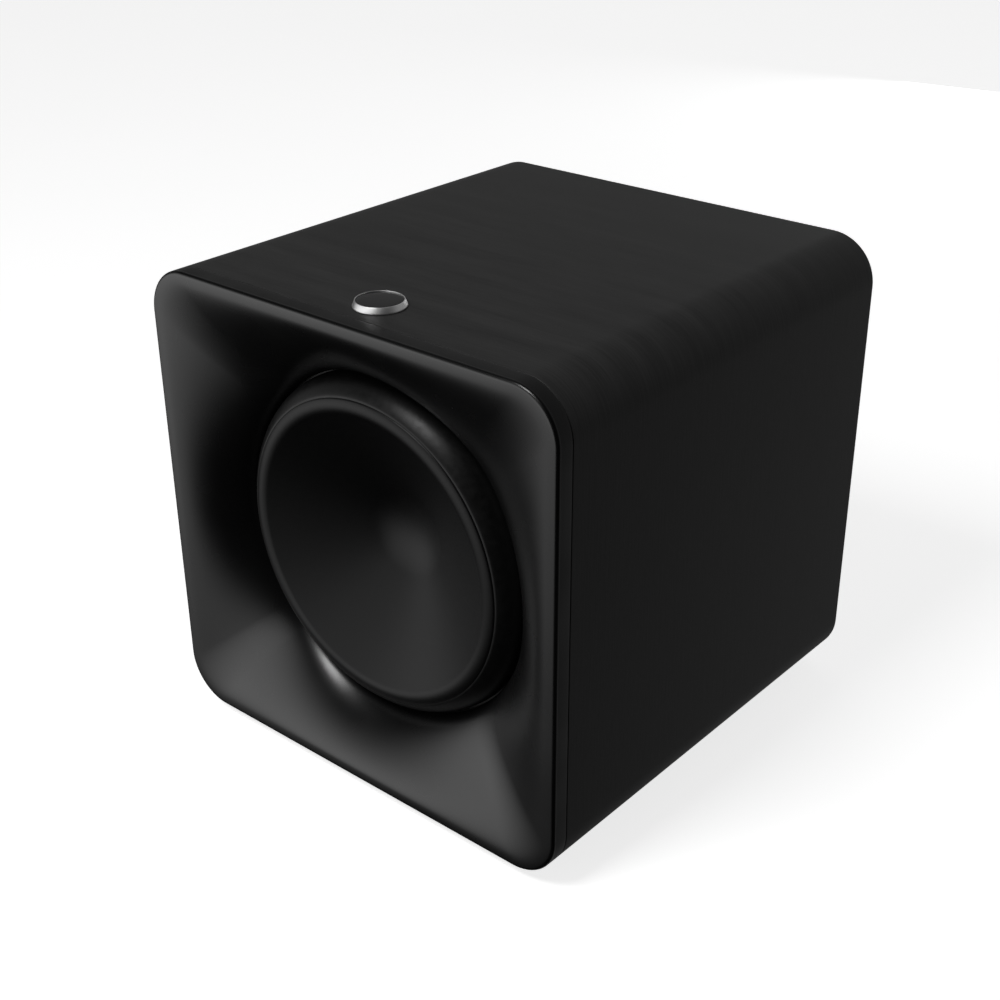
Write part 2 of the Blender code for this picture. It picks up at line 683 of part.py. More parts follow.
def make_port_tube():
    """A flared reflex tube that opens at the rear."""
    outer = PORT_RADIUS + PORT_WALL
    back = PANEL_FRONT_DEPTH + PANEL_THICKNESS
    front = back - PORT_LENGTH
    rim = outer + PORT_FLANGE
    flare_centre = (PORT_RADIUS + PORT_FLARE, back + PORT_PROUD - PORT_FLARE)
    profile = [(PORT_RADIUS, front), (outer, front), (outer, back + GAP), (rim, back + GAP),
               (rim, back + PORT_PROUD / 2), (PORT_RADIUS + PORT_FLARE, back + PORT_PROUD)]
    profile += arc(flare_centre, PORT_FLARE, math.radians(255), math.radians(180), 4)
    return turned("port_tube", profile, MOULDED_PLASTIC, x=PORT_X, steps=36)


def plate_prism(name, inset, front, back, look):
    """A prism of the amplifier plate's outline, moved inwards, between two depths."""
    outline = rounded_rectangle(PLATE_WIDTH / 2 - inset, PLATE_HEIGHT / 2 - inset, 0.004, corner_steps=3)
    outline = [(x + PLATE_X, z) for x, z in outline]
    return loft(name, [to_depth(outline, front), to_depth(outline, back)], look, smooth_angle=30)


def plate_screw_places():
    """The amplifier plate's four screws, as (x, z)."""
    reach_x = PLATE_WIDTH / 2 - PLATE_MARGIN / 2
    reach_z = PLATE_HEIGHT / 2 - PLATE_MARGIN / 2
    return [(PLATE_X + side * reach_x, end * reach_z) for side in (-1, 1) for end in (-1, 1)]


def plate_screw_holes(owner, front, back):
    """Cutters for the holes that the plate's screws pass through."""
    return [disc(owner + "_screw_hole_" + str(i + 1), SCREW_SHANK + GAP, front, back, BLACK_STEEL,
                 x=x, z=z, steps=12) for i, (x, z) in enumerate(plate_screw_places())]


def through_plate(name, radius, x, z):
    """A round cutter through the amplifier plate."""
    return disc(name, radius, PLATE_FRONT_DEPTH - 0.002, BODY_DEPTH + 0.002, BLACK_STEEL, x=x, z=z, steps=24)


def square_through_plate(name, x, z, half_width, half_height):
    """A square-cornered cutter through the amplifier plate."""
    return box_between(name, x - half_width, x + half_width, PLATE_FRONT_DEPTH - 0.002, BODY_DEPTH + 0.002,
                       z - half_height, z + half_height, BLACK_STEEL)


def make_amp_plate():
    """The steel plate that carries the controls and sockets, on a foam gasket."""
    gasket_back = PLATE_FRONT_DEPTH - GAP
    gasket_front = PANEL_FRONT_DEPTH + PANEL_THICKNESS + GAP
    gasket = plate_prism("amp_gasket", 0.0015, gasket_front, gasket_back, RUBBER)
    inside = plate_prism("gasket_window", PLATE_MARGIN, gasket_front - OVERRUN, gasket_back + OVERRUN, RUBBER)
    cut(gasket, inside, *plate_screw_holes("gasket", gasket_front - OVERRUN, gasket_back + OVERRUN))
    plate = plate_prism("amp_plate", 0.0, PLATE_FRONT_DEPTH, BODY_DEPTH, BLACK_STEEL)
    cutters = plate_screw_holes("plate", PLATE_FRONT_DEPTH - OVERRUN, BODY_DEPTH + OVERRUN)
    for name, place in (("gain", GAIN_PLACE), ("lowpass", LOWPASS_PLACE)):
        cutters.append(through_plate(name + "_hole", POT_SHAFT_RADIUS + 0.0008, *place))
    for side, place in (("left", RCA_LEFT_PLACE), ("right", RCA_RIGHT_PLACE)):
        cutters.append(through_plate("rca_hole_" + side, RCA_SHELL_RADIUS + 0.0005, *place))
    cutters.append(through_plate("button_hole", BUTTON_RADIUS + 0.0004, *BUTTON_PLACE))
    cutters.append(through_plate("led_hole", LED_RADIUS + GAP, *LED_PLACE))
    cutters.append(square_through_plate("phase_slot", *PHASE_PLACE, 0.0050, 0.0022))
    cutters.append(square_through_plate("switch_opening", *SWITCH_PLACE, *SWITCH_BODY))
    cutters.append(square_through_plate("inlet_opening", *INLET_PLACE, *INLET_BODY))
    cut(plate, *cutters)
    for i, (x, z) in enumerate(plate_screw_places()):
        pan_screw("amp_plate_screw_" + str(i + 1), x, z, BODY_DEPTH, 0.0185, False)


def make_knobs():
    """Two turning knobs, each moulded with its shaft, in round potentiometers."""
    for name, (x, z) in (("gain", GAIN_PLACE), ("lowpass", LOWPASS_PLACE)):
        face = BODY_DEPTH + KNOB_PROUD
        knob_profile = [(0, POT_FRONT + 0.0030), (POT_SHAFT_RADIUS, POT_FRONT + 0.0030),
                        (POT_SHAFT_RADIUS, BODY_DEPTH + 0.0006), (KNOB_RADIUS, BODY_DEPTH + 0.0006),
                        (KNOB_RADIUS - 0.0008, face - 0.0010), (KNOB_RADIUS - 0.0018, face), (0, face)]
        knob = turned(name + "_knob", knob_profile, RUBBER, x=x, z=z, closed=False, steps=32, smooth_angle=40,
                      origin=at(x, face, z))
        groove = box_between(name + "_pointer", x - 0.0006, x + 0.0006, face - 0.0030, face + 0.0010,
                             z + 0.0030, z + 0.0120, RUBBER)
        cut(knob, groove)
        pot_profile = [(0, POT_FRONT), (0.0082, POT_FRONT), (0.0082, PLATE_FRONT_DEPTH - GAP),
                       (POT_SHAFT_RADIUS + 0.0004, PLATE_FRONT_DEPTH - GAP),
                       (POT_SHAFT_RADIUS + 0.0004, POT_FRONT + 0.0025), (0, POT_FRONT + 0.0025)]
        turned(name + "_pot", pot_profile, PLATED_STEEL, x=x, z=z, closed=False, steps=24)


def make_phase_switch():
    """A slide switch: its lever runs in a slot in the plate and in its body."""
    x, z = PHASE_PLACE
    body = box_between("phase_switch_body", x - 0.0095, x + 0.0095, 0.3080, PLATE_FRONT_DEPTH - GAP,
                       z - 0.0045, z + 0.0045, PLATED_STEEL)
    pocket = box_between("phase_pocket", x - 0.0052, x + 0.0052, 0.3110, PLATE_FRONT_DEPTH + 0.002,
                         z - 0.0024, z + 0.0024, PLATED_STEEL)
    cut(body, pocket)
    left = x - 0.0045
    middle = left + LEVER_WIDTH / 2
    box_between("phase_switch_lever", left, left + LEVER_WIDTH, 0.3115, BODY_DEPTH + 0.0030,
                z - 0.0018, z + 0.0018, GLOSS_BLACK, bevel=0.0003, origin=at(middle, BODY_DEPTH, z))


def snap_in_body(name, x, z, half_width, half_height, flange, front):
    """A body through an opening in the plate, with a flange that rests on the plate."""
    body = box_between(name, x - half_width + GAP, x + half_width - GAP, SNAP_IN_DEPTH, BODY_DEPTH + 0.0010,
                       z - half_height + GAP, z + half_height - GAP, GLOSS_BLACK)
    rim = box_between(name + "_flange", x - half_width - flange, x + half_width + flange, BODY_DEPTH + GAP,
                      front, z - half_height - flange, z + half_height + flange, GLOSS_BLACK)
    join_to(body, rim)
    return body


def make_power_switch():
    """A rocker that tilts about a level axis in its snap-in housing."""
    x, z = SWITCH_PLACE
    half_width, half_height = SWITCH_BODY
    housing = snap_in_body("power_switch_housing", x, z, half_width, half_height, 0.0015, BODY_DEPTH + 0.0018)
    pocket = box_between("switch_pocket", x - 0.0058, x + 0.0058, 0.3120, BODY_DEPTH + 0.0050,
                         z - 0.0100, z + 0.0100, GLOSS_BLACK)
    cut(housing, pocket)
    outline = [(-0.0088, 0.0008), (-0.0020, -0.0030), (0.0020, -0.0030), (0.0088, 0.0008),
               (0.0088, 0.0060), (0, 0.0048), (-0.0088, 0.0060)]
    pivot = at(x, ROCKER_PIVOT_DEPTH, z)
    loops = [[pivot + Vector((side, depth, height)) for height, depth in outline]
             for side in (-ROCKER_HALF_WIDTH, ROCKER_HALF_WIDTH)]
    rocker = loft("power_rocker", loops, GLOSS_BLACK, smooth_angle=None, origin=pivot)
    rocker.rotation_euler = (ROCKER_TILT, 0, 0)


def make_mains_inlet():
    """A three-pin appliance inlet with its flange on the plate."""
    x, z = INLET_PLACE
    half_width, half_height = INLET_BODY
    mouth = BODY_DEPTH + 0.0020
    inlet = snap_in_body("mains_inlet", x, z, half_width, half_height, 0.0020, mouth)
    cavity_x = half_width - 0.0017
    cavity_z = half_height - 0.0017
    corner = 0.0050
    outline = [(-cavity_x, -cavity_z), (cavity_x, -cavity_z), (cavity_x, cavity_z - corner),
               (cavity_x - corner, cavity_z), (-cavity_x + corner, cavity_z), (-cavity_x, cavity_z - corner)]
    outline = [(x + a, z + b) for a, b in outline]
    ends = [to_depth(outline, INLET_FLOOR), to_depth(outline, mouth + OVERRUN)]
    cavity = loft("inlet_cavity", ends, GLOSS_BLACK, smooth_angle=None)
    cut(inlet, cavity)
    pins = []
    for name, pin_x, pin_z in (("live", -0.007, -0.002), ("neutral", 0.007, -0.002), ("earth", 0, 0.002)):
        pins.append(box_between("pin_" + name, x + pin_x - 0.001, x + pin_x + 0.001, INLET_FLOOR - 0.001,
                                INLET_FLOOR + 0.011, z + pin_z - 0.002, z + pin_z + 0.002, PLATED_STEEL))
    join_to(inlet, *pins)


def make_sockets():
    """Two line-level sockets on one block, each with its metal shell."""
    middle_x = (RCA_LEFT_PLACE[0] + RCA_RIGHT_PLACE[0]) / 2
    z = RCA_LEFT_PLACE[1]
    block_back = PLATE_FRONT_DEPTH - GAP
    base = box_between("rca_block", middle_x - 0.0150, middle_x + 0.0150, RCA_BLOCK_FRONT, block_back,
                       z - 0.0080, z + 0.0080, GLOSS_BLACK)
    insulators = []
    bores = []
    for side, (x, _) in (("left", RCA_LEFT_PLACE), ("right", RCA_RIGHT_PLACE)):
        insulators.append(disc("insulator_" + side, RCA_INSULATOR_RADIUS, block_back - 0.001,
                               RCA_FACE - 0.0015, GLOSS_BLACK, x=x, z=z, steps=20))
        bores.append(disc("socket_bore_" + side, RCA_BORE_RADIUS, RCA_BLOCK_FRONT + 0.006, RCA_FACE + OVERRUN,
                          GLOSS_BLACK, x=x, z=z, steps=12))
        ring("rca_ring_" + side, RCA_INSULATOR_RADIUS + 0.0004, RCA_SHELL_RADIUS, block_back + GAP, RCA_FACE,
             PLATED_STEEL, x=x, z=z, steps=24)
    join_to(base, *insulators)
    cut(base, *bores)


def make_button_and_light():
    """The pairing button and the status light beside it."""
    x, z = BUTTON_PLACE
    face = BODY_DEPTH + 0.0010
    collar = BUTTON_RADIUS + 0.0012
    button = [(0, 0.3105), (collar, 0.3105), (collar, 0.3150), (BUTTON_RADIUS, 0.3150),
              (BUTTON_RADIUS, face - 0.0004), (BUTTON_RADIUS - 0.0004, face), (0, face)]
    turned("pair_button", button, GLOSS_BLACK, x=x, z=z, closed=False, steps=20, origin=at(x, BODY_DEPTH, z))
    x, z = LED_PLACE
    collar = LED_RADIUS + 0.0006
    lens = [(0, 0.3110), (collar, 0.3110), (collar, 0.3140), (LED_RADIUS, 0.3140),
            (LED_RADIUS, BODY_DEPTH), (LED_RADIUS * 0.7, BODY_DEPTH + 0.0007), (0, BODY_DEPTH + 0.0010)]
    turned("status_led", lens, LED_LENS, x=x, z=z, closed=False, steps=16)


def on_board(name, x, z, half_width, half_height, height, look, bevel=0.0):
    """A box that stands on the amplifier's board, on its side facing the driver."""
    back = BOARD_FRONT - GAP
    return box_between(name, PLATE_X + x - half_width, PLATE_X + x + half_width, back - height, back,
                       z - half_height, z + half_height, look, bevel=bevel)


def make_electronics():
    """The circuit board and what stands on it."""
    box_between("amp_board", PLATE_X - 0.062, PLATE_X + 0.062, BOARD_FRONT, BOARD_FRONT + 0.0016,
                -0.098, 0.098, CIRCUIT_GREEN)
    on_board("transformer", 0.030, -0.055, 0.022, 0.020, 0.032, TRANSFORMER_TAPE, bevel=0.0015)
    on_board("wireless_module", 0.034, 0.032, 0.012, 0.016, 0.0035, PLATED_STEEL)
    back = BOARD_FRONT - GAP
    front = back - 0.032
    can = [(0, front), (0.0100, front), (0.0110, front + 0.001), (0.0110, back), (0, back)]
    for i, x in enumerate((-0.042, -0.016)):
        turned("capacitor_" + str(i + 1), can, CAPACITOR_SLEEVE, x=PLATE_X + x, z=-0.058, closed=False,
               steps=28)
    make_heatsink()


def make_heatsink():
    """An extruded heat sink: a base with seven fins."""
    fins = 7
    pitch = 0.0075
    back = BOARD_FRONT - GAP
    outline = [(0, back), ((fins - 1) * pitch + 0.002, back)]
    for i in range(fins - 1, -1, -1):
        outline += [(i * pitch + 0.002, back - 0.028), (i * pitch, back - 0.028)]
        if i:
            outline += [(i * pitch, back - 0.005), ((i - 1) * pitch + 0.002, back - 0.005)]
    left = PLATE_X - 0.055
    loops = [[at(left + x, depth, z) for x, depth in outline] for z in (-0.025, 0.045)]
    loft("heatsink", loops, ALUMINIUM, smooth_angle=None)


def make_speaker_cable():
    """The twin lead from the board to the driver's terminals, through the brace."""
    route = [(0.000, 0.0904, 0.0870), (0.000, 0.1050, 0.0885), (0.006, 0.1350, 0.0890),
             (0.022, 0.1700, 0.0880), (0.038, 0.2100, 0.0780), (0.047, 0.2500, 0.0700),
             (0.050, 0.2750, 0.0660), (0.050, 0.2950, 0.0650)]
    points = [at(*place) for place in smooth_route(route, 6)]
    tube("speaker_cable", points, 0.0025, GLOSS_BLACK)


def smooth_route(route, steps):
    """Points along a Catmull-Rom curve through the route's own points."""
    padded = [route[0]] + route + [route[-1]]
    points = []
    for a, b, c, d in zip(padded, padded[1:], padded[2:], padded[3:]):
        a, b, c, d = (Vector(p) for p in (a, b, c, d))
        for step in range(steps):
            t = step / steps
            points.append(0.5 * (2 * b + (c - a) * t + (2 * a - 5 * b + 4 * c - d) * t * t
                                 + (3 * b - a - 3 * c + d) * t ** 3))
    points.append(Vector(route[-1]))
    return points


def make_everything():
    """Every solid, from the box outwards."""
    make_cabinet_shell()
    make_rear_panel()
    make_baffle_board()
    make_window_brace()
    make_front_horn()
    make_badge()
    make_feet()
    make_cone()
    make_surround()
    make_basket()
    make_spider()
    make_motor()
    make_trim_ring()
    make_driver_screws()
    make_terminals()
    make_port_tube()
    make_amp_plate()
    make_knobs()
    make_phase_switch()
    make_power_switch()
    make_mains_inlet()
    make_sockets()
    make_button_and_light()
    make_electronics()
    make_speaker_cable()


for old in list(bpy.data.objects):
    bpy.data.objects.remove(old, do_unlink=True)
make_everything()
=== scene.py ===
import math

import bmesh
import bpy
from mathutils import Matrix, Vector


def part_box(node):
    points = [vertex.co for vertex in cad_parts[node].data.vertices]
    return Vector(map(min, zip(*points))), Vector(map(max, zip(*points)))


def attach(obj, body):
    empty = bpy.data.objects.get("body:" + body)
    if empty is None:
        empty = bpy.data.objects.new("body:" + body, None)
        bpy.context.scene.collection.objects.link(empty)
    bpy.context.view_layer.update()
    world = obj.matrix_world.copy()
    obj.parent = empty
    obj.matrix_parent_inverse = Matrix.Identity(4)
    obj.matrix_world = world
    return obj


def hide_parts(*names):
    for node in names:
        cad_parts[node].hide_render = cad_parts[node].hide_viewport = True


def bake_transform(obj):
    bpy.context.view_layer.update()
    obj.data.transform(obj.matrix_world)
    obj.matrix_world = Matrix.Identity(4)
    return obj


# Looks for a compact powered subwoofer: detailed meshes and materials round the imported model.
# Metres, +Z up, front towards -Y. A depth is measured backwards from the plane of the front lip.

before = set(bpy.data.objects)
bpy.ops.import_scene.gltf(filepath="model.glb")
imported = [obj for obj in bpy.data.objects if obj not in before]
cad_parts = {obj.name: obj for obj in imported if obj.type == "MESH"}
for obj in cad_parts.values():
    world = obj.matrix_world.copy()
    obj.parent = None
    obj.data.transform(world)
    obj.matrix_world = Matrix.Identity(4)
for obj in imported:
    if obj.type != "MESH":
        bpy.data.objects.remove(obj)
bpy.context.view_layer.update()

# Places taken from the frame
SHELL_LOW, SHELL_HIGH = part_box("cabinet_shell")
FRONT_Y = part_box("front_horn")[0].y
HALF_WIDTH = SHELL_HIGH.x
HALF_HEIGHT = (SHELL_HIGH.z - SHELL_LOW.z) / 2
CENTRE_Z = (SHELL_HIGH.z + SHELL_LOW.z) / 2
BODY_DEPTH = SHELL_HIGH.y - FRONT_Y
SHELL_FRONT = SHELL_LOW.y - FRONT_Y

# Cabinet and front moulding
CORNER_RADIUS = 0.031
WALL = 0.015
GAP = 0.0003
LIP_WIDTH = 0.0065
LIP_EDGE_RADIUS = 0.0025
SKIRT_DEPTH = SHELL_FRONT - GAP
SPIGOT_INSET = WALL + GAP
SPIGOT_THICKNESS = 0.0032
SPIGOT_LENGTH = 0.004
SKIRT_EDGE_RADIUS = 0.0005
WRAP_FRONT_EDGE = 0.0006
WRAP_REAR_EDGE = 0.0022
WRAP_INNER_EDGE = 0.0008
THROAT_RADIUS = 0.1116
THROAT_DEPTH = 0.0378
THROAT_EDGE_RADIUS = 0.0008
HORN_BACK_RADIUS = 0.133
HORN_BACK_DEPTH = 0.030
HORN_BACK_START = 0.0145
HORN_LIP_PULL = 0.25
HORN_THROAT_PULL = 0.45
RECESS_RADIUS = 0.1295
RECESS_DEPTH = 0.0442

# Driver
RIM_RADIUS = 0.0938
RIM_DEPTH = 0.0185
RIM_INNER_ROLL = 0.009
DISH_SLOPE = math.radians(29)
TIP_RADIUS = 0.060
RIM_OUTER_ROLL = 0.010
RIM_OUTER_ANGLE = math.radians(30)
CONE_THICKNESS = 0.0015
SURROUND_THICKNESS = 0.0012
SURROUND_BULGE = 0.0032
LANDING_RADIUS = 0.1205
FLANGE_DEPTH = 0.0417
FORMER_RADIUS = 0.025
SPIDER_DEPTH = 0.0874
SPIDER_LIFT = 0.0005
SPIDER_THICKNESS = 0.0009
SPIDER_FOLDED_RADIUS = 0.0685
SPIDER_RADIUS = 0.0785
SPIDER_FOLDS = 5.0
SPIDER_WAVE = 0.0018
LEAD_RADIUS = 0.0009

# Print, sockets and inlet on the plate
PRINT_FRONT = BODY_DEPTH + 0.00001
PRINT_BACK = BODY_DEPTH + 0.00007
PRINT_EDGE = 0.00001
DIGIT_SIZE = 0.0032
DIGIT_THICKNESS = 0.00006
DIAL_DEGREES = 150
DIGIT_RADIUS = 0.0158
SOCKET_BORE = 0.0017
SOCKET_CORE = 0.0032
SOCKET_INNER = 0.0036
SOCKET_OUTER = 0.00415
SOCKET_FLANGE = 0.0062
INLET_FLOOR = 0.3040

# Screws: radii, and the head's profile as (radius, height over the seat)
SCREW_SHANK = 0.0018
SCREW_TIP = 0.0016
SCREW_HEAD = [(0.0033, 0.0003), (0.0033, 0.0008), (0.0030, 0.0014), (0.0024, 0.0018), (0.0016, 0.0020)]
CROSS_ARM = 0.0013
CROSS_WAIST = 0.00045

# Finish of the wrap
ASH_SHINE = 0.30
ASH_DARK = (0.012, 0.012, 0.012)
ASH_LIGHT = (0.043, 0.0428, 0.0425)

# Light
FLOOR_GLOW = 0.78
SURROUND_LEVEL = 0.006
BRIGHT_LEVEL = 1.82
BRIGHT_EDGES = [((-0.999, -0.052, 0), -0.18, 0.28), ((0, 0, -1), -0.62, 0.02), ((0, 0, 1), -0.70, -0.16),
                ((0, -1, 0), 0.05, 0.70)]
SCREEN_LEVEL = 0.23
SCREEN_EDGE = ((0, 1, 0), -0.05, 0.62)

# Roundness of the lofted and turned meshes
SIDE_STEPS = 24
CORNER_STEPS = 16
ROUND = 128


# ---- materials

def add_node(tree, kind, inputs=None, **settings):
    """Add a shader node; each input is given a value or the socket that feeds it."""
    node = tree.nodes.new("ShaderNode" + kind)
    for key, value in settings.items():
        setattr(node, key, value)
    for key, value in (inputs or {}).items():
        if isinstance(value, bpy.types.NodeSocket):
            tree.links.new(value, node.inputs[key])
        else:
            node.inputs[key].default_value = value
    return node


def grey(level):
    """A neutral colour."""
    return (level, level, level)


def maths(tree, operation, first, second):
    """The result of one Math node."""
    return add_node(tree, "Math", {0: first, 1: second}, operation=operation).outputs[0]


def new_look(name, specular=0.5, **sockets):
    """A Principled material and its tree; constants go on the shader's own sockets."""
    look = bpy.data.materials.new(name)
    look.use_nodes = True
    shader = look.node_tree.nodes["Principled BSDF"]
    shader.inputs["Specular IOR Level"].default_value = specular
    for key, value in sockets.items():
        shader.inputs[key.replace("_", " ")].default_value = value
    return look, look.node_tree


def place(tree, scale=(1, 1, 1), centre=(0, 0, 0)):
    """The point in the object's own metres, measured from a centre and stretched."""
    here = add_node(tree, "TexCoord").outputs["Object"]
    moved = add_node(tree, "VectorMath", {0: here, 1: centre}, operation="SUBTRACT")
    stretched = add_node(tree, "VectorMath", {0: moved.outputs[0], 1: scale}, operation="MULTIPLY")
    return stretched.outputs[0]


def speckle(tree, where, scale, detail=3.0, roughness=0.5):
    """Noise from 0 to 1."""
    inputs = {"Vector": where, "Scale": scale, "Detail": detail, "Roughness": roughness}
    return add_node(tree, "TexNoise", inputs).outputs["Fac"]


def between(tree, share, low, high, start=0.3, end=0.7):
    """A number that goes from low to high as share goes from start to end."""
    inputs = {"Value": share, "From Min": start, "From Max": end, "To Min": low, "To Max": high}
    return add_node(tree, "MapRange", inputs).outputs["Result"]


def tint(tree, share, dark, light):
    """A colour that goes from dark to light with share."""
    mix = add_node(tree, "Mix", data_type="RGBA")
    tree.links.new(share, mix.inputs["Factor"])
    mix.inputs[6].default_value = (*dark, 1)
    mix.inputs[7].default_value = (*light, 1)
    return mix.outputs[2]


def finish_look(look, share, dark, light, smooth, rough, bump, height=None):
    """Feed one pattern to the colour and roughness, and it or another one to the relief."""
    tree = look.node_tree
    shader = tree.nodes["Principled BSDF"]
    share = between(tree, share, 0, 1)
    tree.links.new(tint(tree, share, dark, light), shader.inputs["Base Color"])
    tree.links.new(between(tree, share, smooth, rough, 0, 1), shader.inputs["Roughness"])
    relief = add_node(tree, "Bump", {"Height": share if height is None else height, "Distance": bump,
                                     "Strength": 1.0})
    tree.links.new(relief.outputs["Normal"], shader.inputs["Normal"])
    return look


def grained(name, dark, light, smooth, rough, scale, bump, stretch=(1, 1, 1), detail=3.0, **sockets):
    """A material whose colour, gloss and relief follow one stretched noise."""
    look, tree = new_look(name, **sockets)
    pattern = speckle(tree, place(tree, stretch), scale, detail)
    return finish_look(look, pattern, dark, light, smooth, rough, bump)


def make_ash_look():
    """Black ash wrap: pores and streaks that run round the cabinet, across its depth."""
    look, tree = new_look("black_ash_wrap", specular=ASH_SHINE)
    figure = speckle(tree, place(tree, (1, 12, 1)), 7, 2)
    streaks = speckle(tree, place(tree, (1, 45, 1)), 26, 4, 0.6)
    pores = speckle(tree, place(tree, (1, 30, 1)), 80, 3, 0.7)
    mixed = add_node(tree, "Mix", {"Factor": 0.35}, data_type="FLOAT")
    tree.links.new(streaks, mixed.inputs[2])
    tree.links.new(figure, mixed.inputs[3])
    return finish_look(look, mixed.outputs[0], ASH_DARK, ASH_LIGHT, 0.5, 0.58, 0.00006, pores)


def moulded(name, dark, light, smooth, rough, broad, fine, detail, bump, specular):
    """Moulded plastic: broad faint changes of colour and gloss, and a fine grain for its relief."""
    look, tree = new_look(name, specular=specular)
    share = speckle(tree, place(tree), broad, 2)
    grain = speckle(tree, place(tree), fine, detail)
    return finish_look(look, share, dark, light, smooth, rough, bump, grain)


def polar(tree, centre):
    """Radius and angle about an axis that runs along Y."""
    parts = add_node(tree, "SeparateXYZ", {0: place(tree, centre=centre)}).outputs
    angle = maths(tree, "ARCTAN2", parts["Z"], parts["X"])
    squares = [maths(tree, "POWER", parts[axis], 2.0) for axis in "XZ"]
    return maths(tree, "POWER", maths(tree, "ADD", *squares), 0.5), angle


def make_cone_look():
    """Pressed fibre with a satin coat: fine flecks drawn out along the radius."""
    look, tree = new_look("coated_fibre", specular=0.21)
    radius, angle = polar(tree, (0, 0, CENTRE_Z))
    around = add_node(tree, "CombineXYZ", {"X": radius, "Y": angle, "Z": 0.0}).outputs[0]
    drawn = add_node(tree, "VectorMath", {0: around, 1: (60, 14, 1)}, operation="MULTIPLY").outputs[0]
    fibres = speckle(tree, drawn, 4, 4, 0.6)
    flecks = speckle(tree, place(tree), 900, 3)
    return finish_look(look, fibres, (0.0020, 0.0020, 0.0021), (0.0032, 0.0032, 0.0033), 0.34, 0.40,
                       0.00002, flecks)


def make_cloth_look():
    """Resin-dipped cloth: a plain weave seen across the axis."""
    look, tree = new_look("dipped_cloth", specular=0.25)
    here = place(tree)
    waves = [add_node(tree, "TexWave", {"Vector": here, "Scale": 420.0}, bands_direction=axis).outputs["Fac"]
             for axis in "XZ"]
    weave = maths(tree, "MULTIPLY", *waves)
    return finish_look(look, weave, (0.22, 0.11, 0.03), (0.5, 0.3, 0.1), 0.8, 0.95, 0.00008)


def make_braid_look():
    """Braided copper lead."""
    look, tree = new_look("braided_copper", Metallic=1.0)
    strands = add_node(tree, "TexWave", {"Vector": place(tree), "Scale": 900.0, "Distortion": 1.5},
                       bands_direction="DIAGONAL").outputs["Fac"]
    return finish_look(look, strands, (0.45, 0.18, 0.08), (0.9, 0.5, 0.3), 0.25, 0.45, 0.00008)


def make_board_look():
    """Green solder mask with buried tracks and pads."""
    look, tree = new_look("solder_mask", specular=0.5)
    tracks = add_node(tree, "TexBrick", {"Vector": place(tree, centre=(0, 0, CENTRE_Z)), "Scale": 160.0,
                                         "Mortar Size": 0.06}, offset=0.37).outputs["Fac"]
    dust = speckle(tree, place(tree), 300, 3)
    share = maths(tree, "ADD", tracks, dust)
    return finish_look(look, share, (0.008, 0.07, 0.025), (0.03, 0.17, 0.06), 0.28, 0.42, 0.00004)


def make_winding_look(name, dark, light, pitch):
    """Turns of wire or tape side by side, round an axis along Y."""
    look, tree = new_look(name, specular=0.4)
    turns = add_node(tree, "TexWave", {"Vector": place(tree), "Scale": 0.5 / pitch}, bands_direction="Y")
    return finish_look(look, turns.outputs["Fac"], dark, light, 0.3, 0.5, pitch / 8)


def turned_metal(name, dark, light, smooth, rough):
    """Metal with the fine lines that turning or polishing leaves, along Y."""
    return grained(name, dark, light, smooth, rough, 40, 0.000008, (6, 90, 6), 4, Metallic=1.0)


